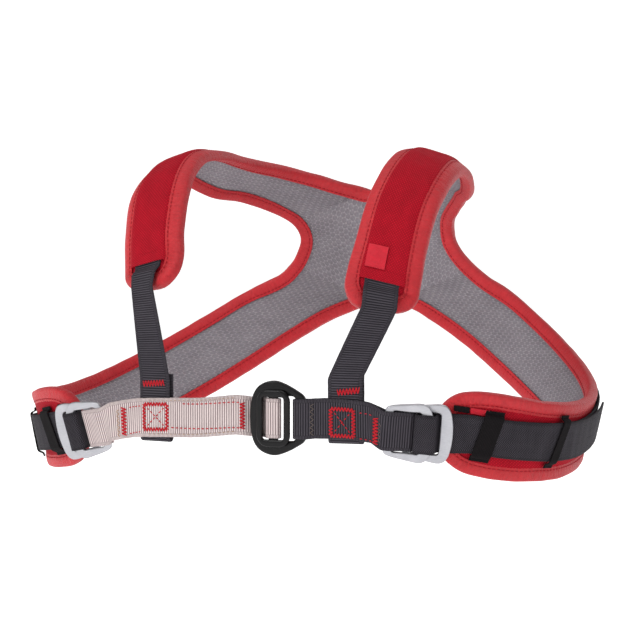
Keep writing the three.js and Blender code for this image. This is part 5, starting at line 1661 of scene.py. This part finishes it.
class HARNESS_OT_stage(bpy.types.Operator):
    """Pale floor that rises at its rim, soft lights and the camera."""

    bl_idname = "harness.stage"
    bl_label = "Stage"

    def execute(self, context):
        scene = context.scene
        self.camera(scene)
        self.floor(scene)
        for name, place, size, power in LAMPS:
            lamp = bpy.data.lights.new(name, "AREA")
            lamp.shape = "RECTANGLE"
            lamp.size, lamp.size_y = size
            lamp.energy = power
            light = bpy.data.objects.new(name, lamp)
            light.location = place
            aim = Vector(LAMP_AIM) - Vector(place)
            light.rotation_euler = aim.to_track_quat("-Z", "Y").to_euler()
            scene.collection.objects.link(light)
        world = bpy.data.worlds.new("studio")
        world.use_nodes = True
        world.node_tree.nodes["Background"].inputs["Color"].default_value = (1, 1, 1, 1)
        world.node_tree.nodes["Background"].inputs["Strength"].default_value = WORLD_LIGHT
        scene.world = world
        scene.view_settings.view_transform = "Standard"
        return {"FINISHED"}

    def camera(self, scene):
        """Level 3 degrees down, 24 degrees round to the wearer's left, 1.8 m away."""
        yaw, pitch = math.radians(CAMERA_YAW), math.radians(CAMERA_PITCH)
        forward = Vector((-math.sin(yaw) * math.cos(pitch), math.cos(yaw) * math.cos(pitch),
                          -math.sin(pitch)))
        data = bpy.data.cameras.new("camera")
        data.lens = 2400 / 630 * 36
        data.sensor_width = 36
        camera = bpy.data.objects.new("camera", data)
        camera.location = Vector(CAMERA_AIM) - forward * CAMERA_AWAY
        camera.rotation_euler = forward.to_track_quat("-Z", "Y").to_euler()
        scene.collection.objects.link(camera)
        scene.camera = camera

    def floor(self, scene):
        """Disc whose rim curves up: radius and height are functions of one parameter."""
        across = np.linspace(0.02, 1, FLOOR_RINGS)
        radius = FLOOR_RADIUS * across
        height = FLOOR_HEIGHT + FLOOR_RISE * smooth_step(across, 0.72, 1.0)
        angle = np.arange(FLOOR_TURNS) * 2 * np.pi / FLOOR_TURNS
        ring = np.stack(np.broadcast_arrays(
            radius[:, None] * np.cos(angle), radius[:, None] * np.sin(angle),
            height[:, None]), -1)
        points = np.vstack([[[0, 0, height[0]]], ring.reshape(-1, 3)])
        turn = np.arange(FLOOR_TURNS)
        after = (turn + 1) % FLOOR_TURNS
        faces = [(0, 1 + int(a), 1 + int(b)) for a, b in zip(turn, after)]
        inner = 1 + FLOOR_TURNS * np.arange(FLOOR_RINGS - 1)[:, None]
        outer = inner + FLOOR_TURNS
        walls = np.stack([inner + turn, outer + turn, outer + after, inner + after],
                         -1).reshape(-1, 4)
        mesh = bpy.data.meshes.new("floor")
        mesh.from_pydata(points.tolist(), [], faces + walls.tolist())
        mesh.shade_smooth()
        mesh.materials.append(pale_floor("floor", (0.88, 0.88, 0.885), (0.92, 0.92, 0.92)))
        floor = bpy.data.objects.new("floor", mesh)
        scene.collection.objects.link(floor)


class HARNESS_OT_pad(bpy.types.Operator):
    """Padded yoke, its mesh lining, the wing facings, the sleeves and the tag."""

    bl_idname = "harness.pad"
    bl_label = "Padded yoke"

    def execute(self, context):
        cloth, _, _ = settings()
        woven = plain_weave("woven cloth", cloth.cloth_shadow, cloth.cloth_light)
        cells = cell_mesh("cell mesh", cloth.mesh_rim, cloth.mesh_face, cloth.cell)
        padding = make_piece(
            "yoke_padding",
            both_sides(yoke_sheet, PADDING_BOTTOM, PADDING_TOP, PAD_INSET, 0.0, 0.9),
            woven, ["padded_yoke"])
        join_halves(padding)
        lining = make_piece(
            "yoke_lining", both_sides(yoke_sheet, 0.0, LINING_TOP, PAD_INSET, 1.1, 0.0),
            cells, ["mesh_lining"])
        join_halves(lining)
        for side in (1, -1):
            name = NAMES[side]
            facing = make_piece(f"wing_cloth_{name}", [facing_part(side)], woven,
                                [f"wing_facing_{name}"])
            sleeve = make_piece(f"sleeve_cloth_{name}", [sleeve_part(side)], woven,
                                [f"shoulder_sleeve_{name}"])
        # the tag's satin has the tape's painted shade: darker in its folds and where it faces the
        # back and the wearer's left
        satin = satin_tape("tag satin", cloth.cloth_shadow, cloth.cloth_light, 0.3)
        tag = make_piece("blank_tag", [tag_part()], satin, ["size_tag"])
        return {"FINISHED"}


class HARNESS_OT_binding(bpy.types.Operator):
    """Folded tape round the whole outline, with a row of stitches on each face."""

    bl_idname = "harness.binding"
    bl_label = "Edge binding"

    def execute(self, context):
        cloth, _, _ = settings()
        edge = Edge()
        # the tape's colour carries painted shade: darker in its folds and where it faces the back
        # and the wearer's left, lighter where it faces the front and the right
        tape = satin_tape("satin tape", cloth.tape_shadow, cloth.tape_light)
        folded = make_piece("edge_tape", [binding_part(edge)], tape,
                            ["edge_binding"])
        thread = sewing_thread("binding thread", linear(128, 8, 22), linear(190, 22, 40))
        length, gap = cloth.stitch / MM, cloth.stitch_gap / MM
        groove = np.full((len(edge.rim), 1), TAPE_GROOVE)
        rows = []
        for height, sign in ((BINDING_TOP - 0.2, 1), (BINDING_BOTTOM + 0.2, -1)):
            line = edge.at(groove, np.full_like(groove, height))[:, 0]
            rows.append(stitch_row(line, edge.inner_normal * sign, length + gap, length, True,
                                   radius=0.36, rise=0.2))
        stitches = make_piece("binding_stitches", rows, thread)
        return {"FINISHED"}


class HARNESS_OT_webbing(bpy.types.Operator):
    """Shoulder, chest and side webbing with its elastic keepers and tabs."""

    bl_idname = "harness.webbing"
    bl_label = "Webbing"

    def execute(self, context):
        _, webbing, _ = settings()
        dark, deep = webbing.dark_crest, webbing.dark_valley
        chest = ribbed_webbing("dark chest webbing", deep, dark, webbing.rib,
                               CHEST_WEB_WIDTH)
        pale = ribbed_webbing("pale chest webbing", webbing.pale_valley, webbing.pale_crest,
                              webbing.rib, CHEST_WEB_WIDTH)
        shoulder = ribbed_webbing("dark shoulder webbing", deep, dark, webbing.rib,
                                  SHOULDER_WEB_WIDTH)
        twill = twill_webbing("dark side webbing", linear(18, 16, 19), linear(74, 70, 77),
                              CHEST_WEB_WIDTH)
        elastic = elastic_band("black elastic", linear(7, 6, 7), linear(32, 28, 30))
        make_piece("chest_strap_left", [band(chest_left_path(), CHEST_WEB_WIDTH,
                                             WEB_THICKNESS, True, seed=3)],
                   chest, ["chest_web_left"])
        make_piece("chest_strap_right", [band(chest_right_path(), CHEST_WEB_WIDTH,
                                              WEB_THICKNESS, True, seed=5)],
                   pale, ["chest_web_right"])
        for side, name in NAMES.items():
            make_piece(f"shoulder_strap_{name}",
                       [band(shoulder_web_path(side), SHOULDER_WEB_WIDTH, WEB_THICKNESS,
                             seed=7 + side)],
                       shoulder, [f"shoulder_web_{name}"])
            make_piece(f"wing_strap_{name}",
                       [band(side_strap_path(side), CHEST_WEB_WIDTH, WEB_THICKNESS,
                             seed=13 + side)],
                       twill, [f"side_strap_{name}"])
            for label, (place, width) in (("front", FRONT_KEEPER), ("back", BACK_KEEPER)):
                make_piece(f"{label}_loop_{name}",
                           [band(keeper_path(side, place), width, KEEPER_THICKNESS,
                                 step=0.6, ripple=0.15, seed=17 + side, softness=0.7)],
                           elastic, [f"{label}_keeper_{name}"])
            place, width = STRAP_TAB
            make_piece(f"tab_{name}", [band(tab_path(side, place), width, KEEPER_THICKNESS,
                                            step=0.5, ripple=0.1, softness=0.4)],
                       elastic, [f"strap_tab_{name}"])
        cloth = settings()[0]
        # the tab's satin has the tape's painted shade: darker in its folds and where it faces the
        # back and the wearer's left
        satin = satin_tape("tab satin", cloth.cloth_shadow, cloth.cloth_light, 0.3)
        place, width = SATIN_TAB
        make_piece("satin_tab", [band(tab_path(1, place), width, KEEPER_THICKNESS, step=0.5,
                                      ripple=0.1, softness=0.4)], satin)
        return {"FINISHED"}


STITCH_LIFT = 0.12


def chest_face(side):
    """Front layer of the chest webbing from the buckle to the rings: middles, ways up and out."""
    edges = BUCKLE_BARS["buckle"] if side > 0 else BUCKLE_BARS["ring"]
    if side > 0:
        start = BUCKLE_PLACE + edges["right"] + 6
        first = (edges["right"], edges["front"] + WEB_SEAT)
    else:
        start = -(BUCKLE_PLACE + edges["left"] - 6)
        first = (edges["left"], edges["back"] - WEB_SEAT - 0.08)
    front, _ = chest_run(side, start, chest_end(side))
    fold = ring_end(side)
    path = chained(framed(BUCKLE_FRAME, 1, [first]), front, (fold[0][:4], fold[1][:4]))
    at, wide, _ = resampled(path, 0.25)
    return at, wide, side * unit(np.cross(np.gradient(at, axis=0), wide))


CHEST_FACES = {side: chest_face(side) for side in (1, -1)}


def chest_line(start, end, count=80):
    """Points and outward normals on the chest webbing's face from one (place, rise) to another."""
    place, rise = (np.linspace(a, b, count) for a, b in zip(start, end))
    at, wide, out = CHEST_FACES[1 if end[0] > 20 else -1]
    target = chest_stop(place, FRONT_LAYER + chest_rise(place))[0]
    near = np.argmin(np.linalg.norm(target[:, None] - at[None], axis=-1), axis=1)
    lift = WEB_THICKNESS / 2 + STITCH_LIFT
    return at[near] + wide[near] * rise[:, None] + out[near] * lift, out[near]


def dashed(start, end, length=2.3, gap=1.1, radius=0.4):
    """Straight row of stitches on the chest webbing."""
    line, outs = chest_line(start, end)
    return stitch_row(line, outs, length + gap, length, radius=radius, rise=0.12)


def tacked(start, end, reach, pitch=1.15, radius=0.52):
    """Close zigzag on the chest webbing, its legs square to the line."""
    line, outs = chest_line(start, end)
    across = np.cross(outs, np.gradient(line, axis=0))
    return zigzag_row(line, across, outs, reach, pitch, radius=radius, rise=0.25)


def box_tack(left, right, low, high, reach=3.2):
    """Plain boxed tack: four zigzag sides and a cross of straight stitches inside."""
    inset = reach / 2 + 0.6
    sides = [
        tacked((left, low), (left, high), reach), tacked((right, low), (right, high), reach),
        tacked((left, low), (right, low), reach), tacked((left, high), (right, high), reach),
    ]
    inner = (left + inset, right - inset, low + inset, high - inset)
    cross = [dashed((inner[0], inner[2]), (inner[1], inner[3])),
             dashed((inner[0], inner[3]), (inner[1], inner[2]))]
    return sides + cross


def strap_tack(side, start, end, reach):
    """Zigzag across the shoulder webbing from one (travelled, across) to another."""
    at, wide, length = resampled(shoulder_web_path(side), 0.5)
    places = np.linspace(0, length, len(at))
    along = unit(np.gradient(at, axis=0))
    out = unit(np.cross(along, wide))
    out = out * np.where(out[:, 1:2] > 0, -1, 1)
    travelled, across = (np.linspace(a, b, 30) for a, b in zip(start, end))

    def met(values):
        return np.stack([np.interp(travelled, places, column) for column in values.T], -1)

    line = met(at) + met(wide) * across[:, None] + met(out) * (WEB_THICKNESS / 2 + STITCH_LIFT)
    return zigzag_row(line, met(along), met(out), reach, 1.15, radius=0.5, rise=0.25)


class HARNESS_OT_stitching(bpy.types.Operator):
    """Tacks and rows of thread on the chest and shoulder webbing."""

    bl_idname = "harness.stitching"
    bl_label = "Stitching"

    def execute(self, context):
        _, webbing, _ = settings()
        red = sewing_thread("red thread", linear(160, 10, 26), webbing.thread_red)
        tan = sewing_thread("tan thread", linear(150, 120, 96), webbing.thread_tan)
        pale_side = [
            tacked((-91, -11.5), (-91, 8.5), 5.4),
            dashed((-86, 8), (-76, 8.5), 1.6, 1.0), dashed((-86, -11), (-76, -10), 1.6, 1.0),
            *box_tack(-73, -54, -8.5, 9.5),
            dashed((-42, 10), (4, 9)), dashed((-51, -7), (4, -9)),
            tacked((5.4, -9.5), (5.4, 9), 4.2),
        ]
        make_piece("red_stitches_right", pale_side, red)
        dark_side = [
            *box_tack(71.5, 87.5, -11.5, 7.0),
            dashed((91, 6), (102, 6.3), 1.8, 1.0), dashed((91, -12), (102, -12), 1.8, 1.0),
            tacked((104.6, -12), (104.6, 6.5), 5.0),
        ]
        make_piece("red_stitches_left", dark_side, red)
        faint = [
            tacked((-96, -12), (-96, 8), 2.6, 1.6, 0.26),
            dashed((-70, 12.4), (0, 12.2), 2, 1.4, 0.2),
            dashed((-70, -11.8), (0, -11.6), 2, 1.4, 0.2),
        ]
        make_piece("tan_stitches_right", faint, tan)
        dim = sewing_thread("grey thread", linear(70, 62, 60), linear(126, 112, 104))
        make_piece("grey_stitches_left", [
            tacked((57.5, -11.5), (57.5, 10.5), 3.0, 1.8, 0.26),
            tacked((108.6, -9), (108.6, 5), 1.4, 2.0, 0.24)], dim)
        tacks = [strap_tack(1, (229, -5.5), (227, 10.5), 5.0),
                 strap_tack(-1, (232.5, -9.5), (231, 8.5), 5.0)]
        make_piece("shoulder_tacks", tacks, red)
        return {"FINISHED"}


class HARNESS_OT_metal(bpy.types.Operator):
    """Adjuster rings of bare metal and the black buckle with its toggle."""

    bl_idname = "harness.metal"
    bl_label = "Rings and buckle"

    def execute(self, context):
        _, _, metal = settings()
        bare = brushed_aluminium("bare aluminium", metal.dull, metal.bright)
        black = black_coating("black coating", metal.coating, metal.rubbed)
        for side, name in NAMES.items():
            make_piece(f"rear_ring_{name}", [ring_part(side, REAR_RING_MIDDLE, REAR_RING_BACK)],
                       bare, [f"adjuster_ring_rear_{name}"])
            make_piece(f"front_ring_{name}",
                       [ring_part(side, FRONT_RING_MIDDLE, FRONT_RING_BACK)],
                       bare, [f"adjuster_ring_front_{name}"])
        make_piece("shield_ring", [buckle_ring_part()], black, ["buckle_ring"])
        make_piece("toggle_plate", toggle_parts(), black, ["buckle_toggle"])
        return {"FINISHED"}


class HARNESS_PT_panel(bpy.types.Panel):
    """Lists the harness's pieces in the 3D view's sidebar."""

    bl_idname = "HARNESS_PT_panel"
    bl_label = "Climbing chest harness"
    bl_space_type = "VIEW_3D"
    bl_region_type = "UI"
    bl_category = "Harness"

    def draw(self, context):
        for step in STEPS:
            self.layout.operator(step.bl_idname, text=step.bl_label)
        for group in settings():
            box = self.layout.box()
            for name in group.__annotations__:
                box.prop(group, name)


STEPS = (HARNESS_OT_stage, HARNESS_OT_pad, HARNESS_OT_binding, HARNESS_OT_webbing,
         HARNESS_OT_stitching, HARNESS_OT_metal)
GROUPS = (("harness_cloth", HarnessClothSettings), ("harness_webbing", HarnessWebbingSettings),
          ("harness_metal", HarnessMetalSettings))


def register():
    for name, group in GROUPS:
        bpy.utils.register_class(group)
        setattr(bpy.types.Scene, name, bpy.props.PointerProperty(type=group))
    for step in (*STEPS, HARNESS_PT_panel):
        bpy.utils.register_class(step)


def unregister():
    for step in reversed((*STEPS, HARNESS_PT_panel)):
        bpy.utils.unregister_class(step)
    for name, group in reversed(GROUPS):
        delattr(bpy.types.Scene, name)
        bpy.utils.unregister_class(group)


def main():
    """Builds every piece in order; the packed parts that a piece replaces stay in the scene,
    hidden.
    """
    register()
    bpy.ops.harness.stage()
    bpy.ops.harness.pad()
    bpy.ops.harness.binding()
    bpy.ops.harness.webbing()
    bpy.ops.harness.stitching()
    bpy.ops.harness.metal()


if __name__ == "__main__":
    main()
